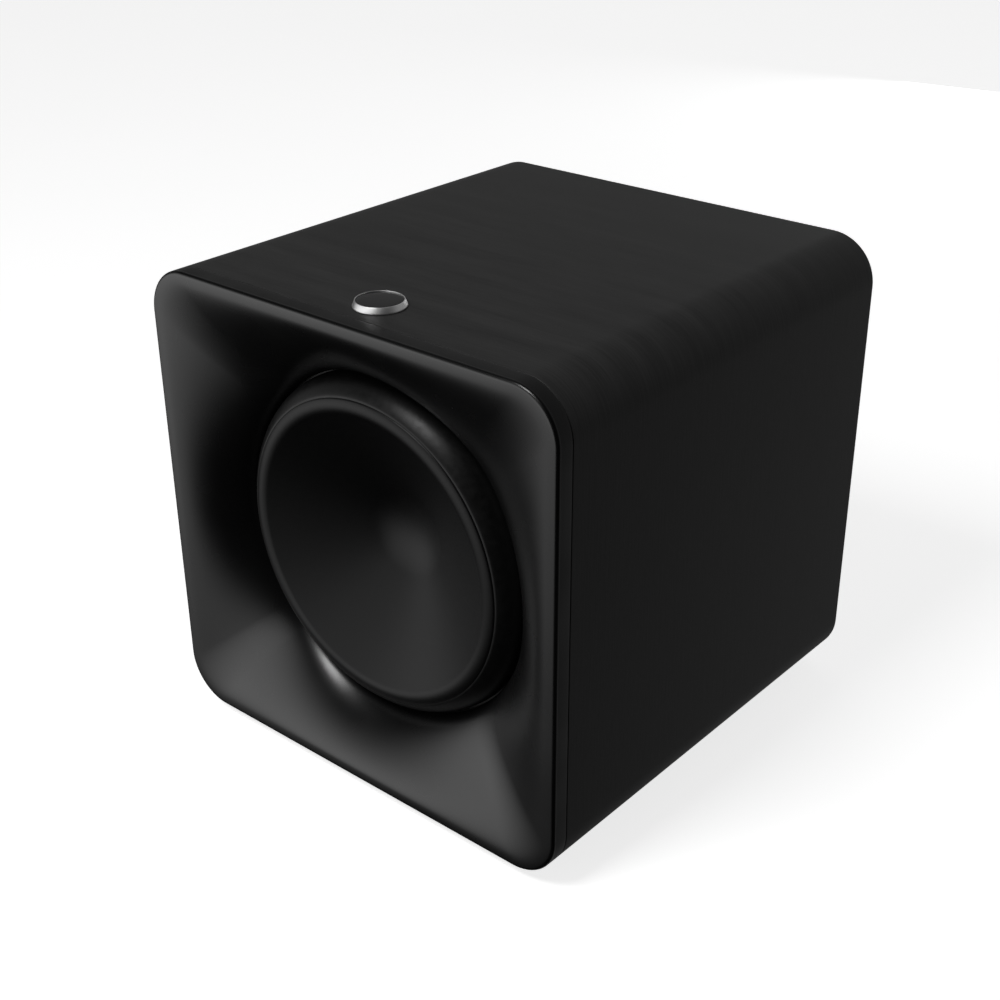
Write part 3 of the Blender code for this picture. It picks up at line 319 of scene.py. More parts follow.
LOOKS = {
    "ash": make_ash_look(),
    "satin": moulded("satin_moulding", (0.0024, 0.0024, 0.0025), (0.0036, 0.0036, 0.0037), 0.25, 0.29,
                     22, 2600, 2, 0.000012, 0.5),
    "skirt": moulded("textured_skirt", grey(0.0028), grey(0.0042), 0.4, 0.5,
                     30, 1500, 3, 0.00003, 0.3),
    "cone": make_cone_look(),
    "cloth": make_cloth_look(),
    "braid": make_braid_look(),
    "mask": make_board_look(),
    "coil": make_winding_look("wound_coil", (0.35, 0.12, 0.05), (0.85, 0.4, 0.2), 0.0004),
    "tape": make_winding_look("yellow_tape", (0.42, 0.3, 0.03), (0.6, 0.46, 0.06), 0.003),
    "rubber": grained("satin_rubber", grey(0.003), grey(0.005), 0.34, 0.42, 260, 0.00002, specular=0.25),
    "matt_rubber": grained("matt_rubber", grey(0.007), grey(0.014), 0.6, 0.78, 700, 0.00005, specular=0.35),
    "foam": grained("closed_cell_foam", grey(0.008), grey(0.03), 0.8, 0.95, 1400, 0.0002),
    "chrome": grained("polished_chrome", grey(0.88), grey(0.95), 0.38, 0.46, 90, 0.000004,
                      Metallic=1.0),
    "gloss": grained("gloss_enamel", (0.004, 0.004, 0.0045), (0.0065, 0.0065, 0.007), 0.04, 0.1, 60, 0.000003,
                     specular=0.2),
    "gloss_plastic": grained("gloss_plastic", grey(0.006), grey(0.011), 0.16, 0.26, 180,
                             0.00001, specular=0.5),
    "powder": grained("powder_coat", grey(0.008), (0.014, 0.014, 0.0142), 0.42, 0.56, 900, 0.00007,
                      specular=0.4),
    "plain_plastic": grained("spark_textured_plastic", grey(0.007), grey(0.011), 0.42, 0.52,
                             1500, 0.00003, specular=0.4),
    "steel": turned_metal("zinc_plated_steel", (0.5, 0.5, 0.48), (0.68, 0.68, 0.66), 0.28, 0.42),
    "black_zinc": turned_metal("black_zinc", (0.035, 0.035, 0.037), (0.07, 0.07, 0.072), 0.3, 0.45),
    "gilt": turned_metal("gilt_plating", (0.75, 0.5, 0.2), (0.9, 0.66, 0.32), 0.16, 0.28),
    "aluminium": turned_metal("extruded_aluminium", (0.6, 0.61, 0.62), (0.78, 0.79, 0.8), 0.3, 0.45),
    "ferrite": grained("raw_ferrite", (0.045, 0.045, 0.047), (0.09, 0.09, 0.092), 0.6, 0.8, 500, 0.0001),
    "fibreboard": grained("bare_fibreboard", (0.28, 0.18, 0.1), (0.42, 0.29, 0.17), 0.75, 0.9, 600, 0.00008,
                          (1, 4, 1)),
    "sleeve": grained("printed_sleeve", (0.012, 0.02, 0.09), (0.02, 0.035, 0.14), 0.25, 0.4, 240, 0.00002),
    "lens": grained("frosted_lens", (0.62, 0.72, 0.82), (0.75, 0.85, 0.95), 0.12, 0.25, 500, 0.00001),
    "print": grained("white_print", grey(0.5), grey(0.62), 0.5, 0.65, 2500, 0.00001),
    "white_plastic": grained("white_insulator", (0.68, 0.67, 0.63), (0.76, 0.75, 0.71), 0.25, 0.35, 600,
                             0.00001),
    "red_plastic": grained("red_insulator", (0.42, 0.02, 0.015), (0.52, 0.035, 0.025), 0.25, 0.35, 600,
                           0.00001),
}


# ---- mesh helpers

def at(x, depth, z):
    """A point given by its depth behind the front lip and its height over the driver's axis."""
    return Vector((x, FRONT_Y + depth, CENTRE_Z + z))


def add_object(name, data):
    """A new object in the scene."""
    thing = bpy.data.objects.new(name, data)
    bpy.context.scene.collection.objects.link(thing)
    return thing


def circle(steps):
    """Angles evenly round a circle."""
    return [math.tau * i / steps for i in range(steps)]


def show(name, bm, look, body, nodes=(), smooth_angle=35):
    """Turn a bmesh into a piece that rides on a body and stands for CAD nodes."""
    bmesh.ops.recalc_face_normals(bm, faces=bm.faces)
    mesh = bpy.data.meshes.new(name)
    bm.to_mesh(mesh)
    bm.free()
    mesh.shade_smooth()
    mesh.set_sharp_from_angle(angle=math.radians(smooth_angle))
    mesh.materials.append(LOOKS[look])
    piece = add_object(name, mesh)
    if nodes:
        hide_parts(*nodes)
    if body:
        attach(piece, body)
    return piece


def skin(bm, rings, closed=False, capped=True):
    """Skin rings of vertices; a ring of one vertex is a pole, and an open end with more may be capped."""
    pairs = list(zip(rings, rings[1:]))
    if closed:
        pairs.append((rings[-1], rings[0]))
    for first, second in pairs:
        count = max(len(first), len(second))
        for i in range(count):
            j = (i + 1) % count
            corners = [first[i % len(first)], first[j % len(first)],
                       second[j % len(second)], second[i % len(second)]]
            bm.faces.new(list(dict.fromkeys(corners)))
    if capped and not closed:
        for end in (rings[0], rings[-1]):
            if len(end) > 2:
                bm.faces.new(end)


def loft(loops, closed=False, bm=None):
    """A bmesh skinned over loops of points."""
    bm = bm or bmesh.new()
    skin(bm, [[bm.verts.new(point) for point in loop] for loop in loops], closed)
    return bm


def turned_loops(profile, x, z, steps):
    """Loops of a profile of (radius, depth) about an axis along Y; a point on the axis stays single."""
    loops = []
    for radius, depth in profile:
        if radius < 1e-7:
            loops.append([at(x, depth, z)])
        else:
            loops.append([at(x + radius * math.cos(turn), depth, z + radius * math.sin(turn))
                          for turn in circle(steps)])
    return loops


def turned(profile, x=0.0, z=0.0, closed=True, steps=ROUND, bm=None):
    """Spin a profile about an axis along Y; an open one starts and ends on it."""
    return loft(turned_loops(profile, x, z, steps), closed, bm)


def rounded(points, radius=0.0, closed=True):
    """Round a polyline's corners; a point's own third value replaces the radius."""
    result = []
    count = len(points)
    steps = 4
    for i, corner in enumerate(points):
        here = Vector(corner[:2])
        reach = corner[2] if len(corner) > 2 else radius
        if not closed and i in (0, count - 1) or reach == 0:
            result.append(tuple(here))
            continue
        before = Vector(points[i - 1][:2]) - here
        after = Vector(points[(i + 1) % count][:2]) - here
        reach = min(reach, before.length * 0.49, after.length * 0.49)
        start = here + before.normalized() * reach
        end = here + after.normalized() * reach
        for step in range(steps + 1):
            share = step / steps
            point = start.lerp(here, share).lerp(here.lerp(end, share), share)
            result.append(tuple(point))
    return result


def arc(centre, radius, start, end, steps):
    """Points (radius, depth) on an arc; angle 0 faces outwards, 90 degrees forwards."""
    turns = [start + (end - start) * step / steps for step in range(steps + 1)]
    return [(centre[0] + radius * math.cos(turn), centre[1] - radius * math.sin(turn)) for turn in turns]


def rounded_rectangle(half_width, half_height, radius, side_steps=1, corner_steps=6):
    """Points (x, z) round a rounded rectangle, anticlockwise from the right side's middle."""
    corners = []
    for sign_x, sign_z, start in ((1, 1, 0), (-1, 1, 90), (-1, -1, 180), (1, -1, 270)):
        for step in range(corner_steps + 1):
            turn = math.radians(start + 90 * step / corner_steps)
            corners.append((sign_x * (half_width - radius) + radius * math.cos(turn),
                            sign_z * (half_height - radius) + radius * math.sin(turn)))
    points = []
    for i, point in enumerate(corners):
        points.append(point)
        if i % (corner_steps + 1) == corner_steps:
            following = corners[(i + 1) % len(corners)]
            for step in range(1, side_steps):
                share = step / side_steps
                points.append(tuple(a + (b - a) * share for a, b in zip(point, following)))
    return points


def cabinet_outline(inset):
    """The cabinet's outer contour, moved inwards."""
    return rounded_rectangle(HALF_WIDTH - inset, HALF_HEIGHT - inset, max(CORNER_RADIUS - inset, 0.004),
                             SIDE_STEPS, CORNER_STEPS)


def to_depth(outline, depth):
    """Put an outline at one depth."""
    return [at(x, depth, z) for x, z in outline]


def middle_of(outline):
    """The mean of an outline's points."""
    return sum((Vector(point) for point in outline), Vector((0, 0))) / len(outline)


def scaled(outline, factor):
    """An outline scaled about its middle."""
    middle = middle_of(outline)
    return [tuple(middle + (Vector(point) - middle) * factor) for point in outline]


def prism(outline, front, back, edge, bm=None):
    """A prism along Y over an outline of (x, z), with its two rims chamfered."""
    middle = middle_of(outline)
    size = max((Vector(point) - middle).length for point in outline)
    small = scaled(outline, 1 - edge / size)
    loops = [to_depth(small, front), to_depth(outline, front + edge), to_depth(outline, back - edge),
             to_depth(small, back)]
    return loft(loops, bm=bm)


def shifted(outline, x, z):
    """An outline moved across."""
    return [(a + x, b + z) for a, b in outline]


# ---- cabinet and front moulding

def make_cabinet_wrap():
    """The wrapped sleeve, with softened front and rear edges."""
    profile = rounded([(0, SHELL_FRONT, WRAP_FRONT_EDGE), (0, BODY_DEPTH, WRAP_REAR_EDGE),
                       (WALL, BODY_DEPTH, WRAP_INNER_EDGE), (WALL, SHELL_FRONT, 0)])
    loops = [to_depth(cabinet_outline(inset), depth) for inset, depth in profile]
    show("cabinet_wrap", loft(loops, closed=True), "ash", "cabinet", ["cabinet_shell"])


def flare(t):
    """A bell mouth's section from its lip, where it is flat, to its throat, where it is axial.

    Returns the shares of the way inwards and of the way back, on a cubic curve.
    """
    inwards = 3 * (1 - t) ** 2 * t * HORN_LIP_PULL + 3 * (1 - t) * t ** 2 + t ** 3
    back = 3 * (1 - t) * t ** 2 * (1 - HORN_THROAT_PULL) + t ** 3
    return inwards, back


def mouth_loops(lip_inset, radius, lip_depth, throat_depth, steps):
    """Loops of a bell mouth from its lip to its throat, square to round."""
    lip = cabinet_outline(lip_inset)
    loops = []
    for step in range(steps + 1):
        share, back = flare(step / steps)
        depth = lip_depth + (throat_depth - lip_depth) * back
        outline = []
        for x, z in lip:
            angle = math.atan2(z, x)
            outline.append((x + (radius * math.cos(angle) - x) * share,
                            z + (radius * math.sin(angle) - z) * share))
        loops.append(to_depth(outline, depth))
    return loops


def circle_loop(radius, depth):
    """A circle whose points lie on the same rays as the horn's."""
    angles = [math.atan2(z, x) for x, z in cabinet_outline(LIP_WIDTH)]
    return [at(radius * math.cos(angle), depth, radius * math.sin(angle)) for angle in angles]


def make_front_moulding():
    """The flared front: rounded lip, skirt and spigot outside, horn inside, driver's recess behind."""
    lip_steps = 6
    quarter = [math.pi / 2 * step / lip_steps for step in range(lip_steps + 1)]
    loops = [to_depth(cabinet_outline(LIP_EDGE_RADIUS * (1 - math.sin(turn))),
                      LIP_EDGE_RADIUS * (1 - math.cos(turn))) for turn in quarter]
    spigot_inner = SPIGOT_INSET + SPIGOT_THICKNESS
    spigot_end = SKIRT_DEPTH + SPIGOT_LENGTH
    skirt_end = rounded([(0, SKIRT_DEPTH - 0.002, 0), (0, SKIRT_DEPTH, SKIRT_EDGE_RADIUS),
                         (SPIGOT_INSET, SKIRT_DEPTH, 0), (SPIGOT_INSET, spigot_end, 0),
                         (spigot_inner, spigot_end, 0)])
    loops += [to_depth(cabinet_outline(inset), depth) for inset, depth in skirt_end]
    outside = len(loops)
    loops += mouth_loops(spigot_inner, HORN_BACK_RADIUS, HORN_BACK_START, HORN_BACK_DEPTH, 8)
    edge = (THROAT_RADIUS + THROAT_EDGE_RADIUS, THROAT_DEPTH - THROAT_EDGE_RADIUS)
    recess = [(HORN_BACK_RADIUS, RECESS_DEPTH), (RECESS_RADIUS, RECESS_DEPTH), (RECESS_RADIUS, THROAT_DEPTH)]
    recess += arc(edge, THROAT_EDGE_RADIUS, -math.pi / 2, -math.pi, 4)[:-1]
    loops += [circle_loop(radius, depth) for radius, depth in recess]
    loops += mouth_loops(LIP_WIDTH, THROAT_RADIUS, 0, edge[1], 36)[::-1]
    piece = show("front_moulding", loft(loops, closed=True), "satin", "cabinet", ["front_horn"])
    paint_skirt(piece, len(loops[0]), lip_steps, outside - 1)


def paint_skirt(piece, around, first, last):
    """Give the rings of faces on the moulding's outside their own textured finish."""
    piece.data.materials.append(LOOKS["skirt"])
    for face in piece.data.polygons[first * around:last * around]:
        face.material_index = 1


# ---- driver

def dish_profile(offset, steps=12):
    """The dish from its rounded tip up its straight wall to its rolled rim, moved back by offset.

    Points are (radius, depth).
    """
    roll_centre = (RIM_RADIUS, RIM_DEPTH + RIM_INNER_ROLL)
    start_radius = roll_centre[0] - RIM_INNER_ROLL * math.sin(DISH_SLOPE)
    start_depth = roll_centre[1] - RIM_INNER_ROLL * math.cos(DISH_SLOPE)
    tip_edge = TIP_RADIUS * math.sin(DISH_SLOPE)
    tip_depth = start_depth + (start_radius - tip_edge) * math.tan(DISH_SLOPE)
    tip_centre = tip_depth - TIP_RADIUS * math.cos(DISH_SLOPE)
    reach = TIP_RADIUS + offset
    tilts = [DISH_SLOPE * step / steps for step in range(steps + 1)]
    points = [(reach * math.sin(tilt), tip_centre + reach * math.cos(tilt)) for tilt in tilts]
    inner = arc(roll_centre, RIM_INNER_ROLL - offset, math.pi / 2 + DISH_SLOPE, math.pi / 2, 8)
    outer_centre = (RIM_RADIUS, RIM_DEPTH + RIM_OUTER_ROLL)
    outer = arc(outer_centre, RIM_OUTER_ROLL - offset, math.pi / 2, math.pi / 2 - RIM_OUTER_ANGLE, 7)
    return points + inner + outer[1:]


def make_cone():
    """A one-piece dish with a rolled rim and a rounded outer edge."""
    front = dish_profile(0.0)
    back = dish_profile(CONE_THICKNESS)
    corner = (front[-1][0] + 0.0004, front[-1][1] + 0.0009, 0.0006)
    edge = rounded([front[-1], corner, back[-1]], closed=False)
    profile = front + edge[1:-1] + back[::-1]
    show("woofer_cone", turned(profile, closed=False, steps=160), "cone", "cone_assembly", ["cone"],
         50)


def rim_edge():
    """The front corner of the rim's outer edge, as (radius, depth)."""
    return (RIM_RADIUS + RIM_OUTER_ROLL * math.sin(RIM_OUTER_ANGLE),
            RIM_DEPTH + RIM_OUTER_ROLL * (1 - math.cos(RIM_OUTER_ANGLE)))


def surround_front(steps=24):
    """The roll's front from under the cone's rim to its landing on the basket."""
    start = Vector((rim_edge()[0] + 0.0006, rim_edge()[1] + 0.0004))
    end = Vector((THROAT_RADIUS - 0.0010, FLANGE_DEPTH - SURROUND_THICKNESS - GAP))
    across = end - start
    outwards = Vector((across.y, -across.x)).normalized()
    points = []
    for step in range(steps + 1):
        share = step / steps
        bulge = SURROUND_BULGE * math.sin(math.pi * share) ** 0.8
        points.append(tuple(start + across * share + outwards * bulge))
    return points


def make_surround():
    """The rubber roll, from under the cone's rim to its landing on the basket."""
    glue_depth = rim_edge()[1] + CONE_THICKNESS + GAP
    landing_depth = FLANGE_DEPTH - SURROUND_THICKNESS - GAP
    roll = surround_front()
    front = [(RIM_RADIUS - 0.001, glue_depth)] + roll + [(LANDING_RADIUS, landing_depth)]
    back = [(radius - SURROUND_THICKNESS * 0.5, depth + SURROUND_THICKNESS) for radius, depth in roll]
    back = [(RIM_RADIUS - 0.001, glue_depth + SURROUND_THICKNESS)] + back
    back.append((LANDING_RADIUS, landing_depth + SURROUND_THICKNESS))
    piece = show("rubber_surround", turned(front + back[::-1]), "rubber", None, ["surround"], 50)
    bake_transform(piece)


def make_throat_ring():
    """The soft ring that seals the horn's throat to the surround's landing."""
    front = THROAT_DEPTH + GAP
    back = FLANGE_DEPTH - SURROUND_THICKNESS - 2 * GAP
    profile = rounded([(THROAT_RADIUS + 0.0035, front), (LANDING_RADIUS, front), (LANDING_RADIUS, back),
                       (THROAT_RADIUS + 0.0055, back)], 0.0006)
    show("throat_seal", turned(profile), "matt_rubber", "cabinet", ["trim_ring"], 50)


def spider_sector(name, start_turn, end_turn):
    """One sector of the corrugated spider, from its glued rim to the coil former."""
    inner = FORMER_RADIUS + GAP
    face = SPIDER_DEPTH - SPIDER_LIFT
    steps = 60
    front = []
    for step in range(steps + 1):
        share = step / steps
        wave = SPIDER_WAVE * math.sin(math.tau * SPIDER_FOLDS * share) * math.sin(math.pi * share) ** 0.3
        front.append((inner + (SPIDER_FOLDED_RADIUS - inner) * share, face + wave))
    front.append((SPIDER_RADIUS, face))
    section = front + [(radius, depth + SPIDER_THICKNESS) for radius, depth in front[::-1]]
    turns = [start_turn + (end_turn - start_turn) * step / 12 for step in range(13)]
    loops = [[at(radius * math.cos(turn), depth, radius * math.sin(turn)) for radius, depth in section]
             for turn in turns]
    piece = show(name, loft(loops), "cloth", None, ["spider"], 50)
    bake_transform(piece)


def make_spider():
    """The spider in eight equal sectors round the driver's axis."""
    sectors = 8
    for i in range(sectors):
        spider_sector("spider_sector_" + str(i + 1), math.tau * i / sectors, math.tau * (i + 1) / sectors)


def smooth_route(route, steps):
    """Points along a Catmull-Rom curve through the route's own points."""
    padded = [route[0]] + route + [route[-1]]
    points = []
    for a, b, c, d in zip(padded, padded[1:], padded[2:], padded[3:]):
        a, b, c, d = (Vector(p) for p in (a, b, c, d))
        for step in range(steps):
            t = step / steps
            points.append(0.5 * (2 * b + (c - a) * t + (2 * a - 5 * b + 4 * c - d) * t * t
                                 + (3 * b - a - 3 * c + d) * t ** 3))
    points.append(Vector(route[-1]))
    return points


def tube(points, radius, sides=10):
    """A round tube along a smooth list of points."""
    loops = []
    for i, point in enumerate(points):
        ahead = (points[min(i + 1, len(points) - 1)] - points[max(i - 1, 0)]).normalized()
        across = ahead.cross(Vector((1, 0, 0))).normalized()
        other = ahead.cross(across)
        loops.append([point + (across * math.cos(turn) + other * math.sin(turn)) * radius
                      for turn in circle(sides)])
    return loft(loops)


def make_tinsel_leads():
    """Two braided leads that bend between the terminals and the coil."""
    strip_front = 0.0863
    for side, x in (("left", -0.007), ("right", 0.007)):
        route = [(x, strip_front - GAP, 0.0885), (x, 0.0815, 0.0885), (x, 0.0775, 0.0868),
                 (x, 0.0748, 0.0760), (x, 0.0770, 0.0500), (x, 0.0742, FORMER_RADIUS + 0.0022)]
        points = [at(*spot) for spot in smooth_route(route, 8)]
        piece = show("braided_lead_" + side, tube(points, LEAD_RADIUS), "braid", None,
                     ["tinsel_lead_" + side], 60)
        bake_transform(piece)


# ---- badge

def radius_of(node):
    """Half of a round node's width."""
    low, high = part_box(node)
    return (high.x - low.x) / 2


def upright_turned(profile, x, y, z, closed=True, steps=96):
    """Spin a profile of (radius, height) about a vertical axis."""
    bm = turned(profile, closed=closed, steps=steps)
    bmesh.ops.translate(bm, verts=bm.verts, vec=-at(0, 0, 0))
    bmesh.ops.rotate(bm, verts=bm.verts, cent=(0, 0, 0), matrix=Matrix.Rotation(math.pi / 2, 3, "X"))
    bmesh.ops.translate(bm, verts=bm.verts, vec=Vector((x, y, z)))
    return bm


def make_badge():
    """A bevelled bright ring round a slightly domed gloss disc, without any mark on it."""
    low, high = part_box("badge_ring")
    centre = (low + high) / 2
    radius = radius_of("badge_ring")
    height = high.z - low.z
    inner = radius - 0.0018
    ring = rounded([(inner, 0, 0), (radius, 0, 0.0002), (radius, 0.0006, 0.0003),
                    (radius - 0.0014, height, 0.0003), (inner, height, 0.0002)])
    show("badge_bezel", upright_turned(ring, centre.x, centre.y, low.z), "chrome", "cabinet", ["badge_ring"],
         40)
    face = inner - GAP
    steps = 10
    dome = [(face * math.sin(math.pi / 2 * step / steps), height - 0.0003 - 0.0004 * (step / steps) ** 2)
            for step in range(steps + 1)]
    profile = [(0, 0), (face, 0)] + dome[::-1]
    show("badge_face", upright_turned(profile, centre.x, centre.y, low.z, closed=False), "gloss", "cabinet",
         ["badge_disc"], 40)


# ---- feet

def make_feet():
    """Dished rubber feet, each with its fixing screw in the middle."""
    for corner in ("front_left", "front_right", "rear_left", "rear_right"):
        low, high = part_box("foot_" + corner)
        x, y = (low.x + high.x) / 2, (low.y + high.y) / 2
        radius = radius_of("foot_" + corner)
        height = high.z - low.z
        profile = rounded([(0, height, 0), (radius, height, 0.0004), (radius - 0.001, 0.0015, 0.001),
                           (radius - 0.0025, 0, 0.0008), (0.0065, 0, 0.0005), (0.0055, 0.0040, 0.0003),
                           (0, 0.0040, 0)], closed=False)
        show("rubber_foot_" + corner, upright_turned(profile, x, y, low.z, closed=False, steps=64),
             "matt_rubber", "cabinet", ["foot_" + corner])
        head = rounded([(0, 0.0039, 0), (0.0038, 0.0039, 0), (0.0038, 0.0028, 0.0004),
                        (0.0020, 0.0019, 0.001), (0, 0.0018, 0)], closed=False)
        show("foot_screw_" + corner, upright_turned(head, x, y, low.z, closed=False, steps=32), "steel",
             "cabinet")


# ---- rear

def centre_of(node):
    """The (x, z) of a node's middle, relative to the driver's axis."""
    low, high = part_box(node)
    return (low.x + high.x) / 2, (low.z + high.z) / 2 - CENTRE_Z


def depth_range(node):
    """A node's front and back depths."""
    low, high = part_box(node)
    return low.y - FRONT_Y, high.y - FRONT_Y


def make_port():
    """The reflex port: a thin tube that flares into a trumpet at the rear panel."""
    x, z = centre_of("port_tube")
    front, back = depth_range("port_tube")
    radius = 0.026
    flare_radius = 0.0085
    lip = 0.0015
    wall = radius + 2 * lip
    seat = back - 0.0025
    rim = radius + 0.012
    mouth = radius + flare_radius
    profile = [(radius, front + lip), *arc((radius + lip, front + lip), lip, math.pi, 0, 8)[1:-1],
               (wall, front + lip), (wall, seat), (rim, seat)]
    profile += rounded([(rim, seat), (rim, back - 0.0010, 0.0012), (mouth, back, 0.001),
                        (mouth - 0.0005, back, 0)], closed=False)[1:]
    profile += arc((mouth, back - flare_radius), flare_radius, math.radians(275), math.radians(180), 16)[1:]
    show("port_flare", turned(profile, x, z), "plain_plastic", "cabinet", ["port_tube"])


def fluted_knob(name, node, body):
    """A turning knob: fine flutes round its side, a dished face and a pointer line."""
    x, z = centre_of(node)
    front, back = depth_range(node)
    radius = radius_of(node)
    shaft = 0.003
    base = BODY_DEPTH + 0.0006
    flutes = 24
    flute_depth = 0.00045
    shape = [(shaft, front, 0), (shaft, base, 0), (radius - 0.0003, base, 0), (radius, base + 0.0010, 1),
             (radius - 0.0007, back - 0.0022, 1), (radius - 0.0011, back - 0.0010, 0.5),
             (radius - 0.0020, back - 0.0002, 0), (radius - 0.0030, back, 0),
             (radius - 0.0042, back - 0.0004, 0)]
    loops = [[at(x, front, z)]]
    for size, depth, fluting in shape:
        loop = []
        for turn in circle(flutes * 8):
            reach = size - flute_depth * fluting * abs(math.sin(flutes * turn / 2)) ** 3
            loop.append(at(x + reach * math.cos(turn), depth, z + reach * math.sin(turn)))
        loops.append(loop)
    loops.append([at(x, back - 0.0005, z)])
    show(name + "_grip", loft(loops), "matt_rubber", body, [node], 40)
    line = shifted(rounded_rectangle(0.00045, 0.0022, 0.0003, 1, 3), x, z + 0.0056)
    show(name + "_pointer_line", prism(line, back - 0.0006, back + 0.00005, 0.00005), "print", body)


def text_mesh(bm, text, x, z):
    """Add generic digits or marks, standing on the plate and read from behind."""
    curve = bpy.data.curves.new("label", "FONT")
    curve.body = text
    curve.size = DIGIT_SIZE
    curve.align_x = "CENTER"
    curve.align_y = "CENTER"
    curve.extrude = DIGIT_THICKNESS / 2
    holder = add_object("label", curve)
    bpy.context.view_layer.update()
    mesh = bpy.data.meshes.new_from_object(holder)
    middle = at(x, BODY_DEPTH + DIGIT_THICKNESS / 2, z)
    turn = Matrix.Translation(middle) @ Matrix.Rotation(math.pi, 4, "Z")
    mesh.transform(turn @ Matrix.Rotation(math.pi / 2, 4, "X"))
    bm.from_mesh(mesh)
    bpy.data.objects.remove(holder)
    bpy.data.meshes.remove(mesh)


def dial_scale(name, node, labels):
    """Eleven ticks round a knob from its minimum to its maximum, with numbers at some of them."""
    x, z = centre_of(node)
    ticks = 11
    bm = bmesh.new()
    for i in range(ticks):
        turn = math.radians(DIAL_DEGREES - 2 * DIAL_DEGREES * i / (ticks - 1))
        length = 0.0016 if i % 5 else 0.0024
        middle = 0.0112 + length / 2
        points = []
        for a, b in rounded_rectangle(0.00018, length / 2, 0.00005, 1, 1):
            b += middle
            points.append((x + a * math.cos(turn) + b * math.sin(turn),
                           z - a * math.sin(turn) + b * math.cos(turn)))
        prism(points, PRINT_FRONT, PRINT_BACK, PRINT_EDGE, bm)
    for share, label in labels:
        turn = math.radians(DIAL_DEGREES - 2 * DIAL_DEGREES * share)
        text_mesh(bm, label, x + DIGIT_RADIUS * math.sin(turn), z + DIGIT_RADIUS * math.cos(turn))
    show(name, bm, "print", "cabinet", smooth_angle=20)


def plate_marks():
    """Numbers at the phase switch's ends, rules that group the controls, and rings round four of them."""
    bm = bmesh.new()
    x, z = centre_of("phase_switch_body")
    text_mesh(bm, "0", x + 0.0105, z)
    text_mesh(bm, "180", x - 0.0115, z)
    left = centre_of("lowpass_pot")[0]
    right = centre_of("gain_pot")[0]
    for height in (0.058, -0.008):
        rule = shifted(rounded_rectangle((right - left) / 2 + 0.018, 0.00012, 0.00005, 1, 1), x, height)
        prism(rule, PRINT_FRONT, PRINT_BACK, PRINT_EDGE, bm)
    for node in ("rca_ring_left", "rca_ring_right", "pair_button", "status_led"):
        inner = radius_of(node) + 0.0022
        outer = inner + 0.00025
        ring = [(inner, PRINT_FRONT), (outer, PRINT_FRONT), (outer, PRINT_BACK), (inner, PRINT_BACK)]
        turned(ring, *centre_of(node), steps=48, bm=bm)
    show("plate_markings", bm, "print", "cabinet", smooth_angle=20)


def make_sockets():
    """Phono sockets: gilt shells with a flange, round coloured insulators with a gilt contact."""
    front, back = depth_range("rca_ring_left")
    core_back = BODY_DEPTH + 0.0085
    contact_back = BODY_DEPTH + 0.0078
    for side, look in (("left", "white_plastic"), ("right", "red_plastic")):
        x, z = centre_of("rca_ring_" + side)
        shell = rounded([(SOCKET_INNER, front, 0), (SOCKET_OUTER, front, 0), (SOCKET_OUTER, BODY_DEPTH, 0),
                         (SOCKET_FLANGE, BODY_DEPTH, 0), (SOCKET_FLANGE, BODY_DEPTH + 0.0008, 0.0003),
                         (SOCKET_OUTER, BODY_DEPTH + 0.0010, 0.0002), (SOCKET_OUTER, back, 0.0002),
                         (SOCKET_INNER, back, 0.0002)])
        show("socket_shell_" + side, turned(shell, x, z, steps=64), "gilt", "cabinet", ["rca_ring_" + side])
        core = rounded([(SOCKET_BORE, 0.3080, 0), (SOCKET_CORE, 0.3080, 0), (SOCKET_CORE, core_back, 0.0003),
                        (SOCKET_BORE, core_back, 0.0002)])
        show("socket_core_" + side, turned(core, x, z, steps=48), look, "cabinet", ["rca_block"])
        sleeve = [(0.0013, 0.3085), (0.0016, 0.3085), (0.0016, contact_back), (0.0013, contact_back)]
        show("socket_contact_" + side, turned(sleeve, x, z, steps=32), "gilt", "cabinet")
    base = shifted(rounded_rectangle(0.0150, 0.0080, 0.0008, 1, 3), *centre_of("rca_block"))
    show("socket_base", prism(base, 0.3020, 0.3077, 0.0004), "gloss_plastic", "cabinet", ["rca_block"])


def make_inlet():
    """The appliance inlet: a moulded housing with a keyed recess, and three blades in it."""
    x, z = centre_of("mains_inlet")
    low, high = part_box("mains_inlet")
    front, back = depth_range("mains_inlet")
    signs = ((-1, -1), (1, -1), (1, 1), (-1, 1))
    wide, tall = (high.x - low.x) / 2, (high.z - low.z) / 2
    rim = rounded([(a * wide, b * tall) for a, b in signs], 0.0015)
    wide, tall = wide - 0.0023, tall - 0.0023
    body = rounded([(a * wide, b * tall) for a, b in signs], 0.0008)
    wide, tall, corner = 0.0123, 0.0083, 0.0050
    cavity = rounded([(-wide, -tall, 0.001), (wide, -tall, 0.001), (wide, tall - corner),
                      (wide - corner, tall), (-wide + corner, tall), (-wide, tall - corner)], 0.0008)
    housing = bmesh.new()
    add_keyed_box(housing, shifted(body, x, z), shifted(rim, x, z), shifted(cavity, x, z), front, back)
    show("inlet_housing", housing, "gloss_plastic", "cabinet", ["mains_inlet"])
    blades = bmesh.new()
    for blade_x, blade_z in ((-0.0070, -0.0020), (0.0070, -0.0020), (0, 0.0020)):
        outline = shifted(rounded_rectangle(0.0010, 0.0020, 0.0003, 1, 2), x + blade_x, z + blade_z)
        prism(outline, INLET_FLOOR + 0.0001, 0.3150, 0.0005, blades)
    show("inlet_blades", blades, "steel", "cabinet", ["mains_inlet"])


def polygon_between(bm, outer, inner):
    """Fill the flat band between two loops of vertices, which may differ in number."""
    edges = []
    for ring in (outer, inner):
        for i, vertex in enumerate(ring):
            following = ring[(i + 1) % len(ring)]
            edges.append(bm.edges.get((vertex, following)) or bm.edges.new((vertex, following)))
    bmesh.ops.triangle_fill(bm, edges=edges, use_beauty=True)


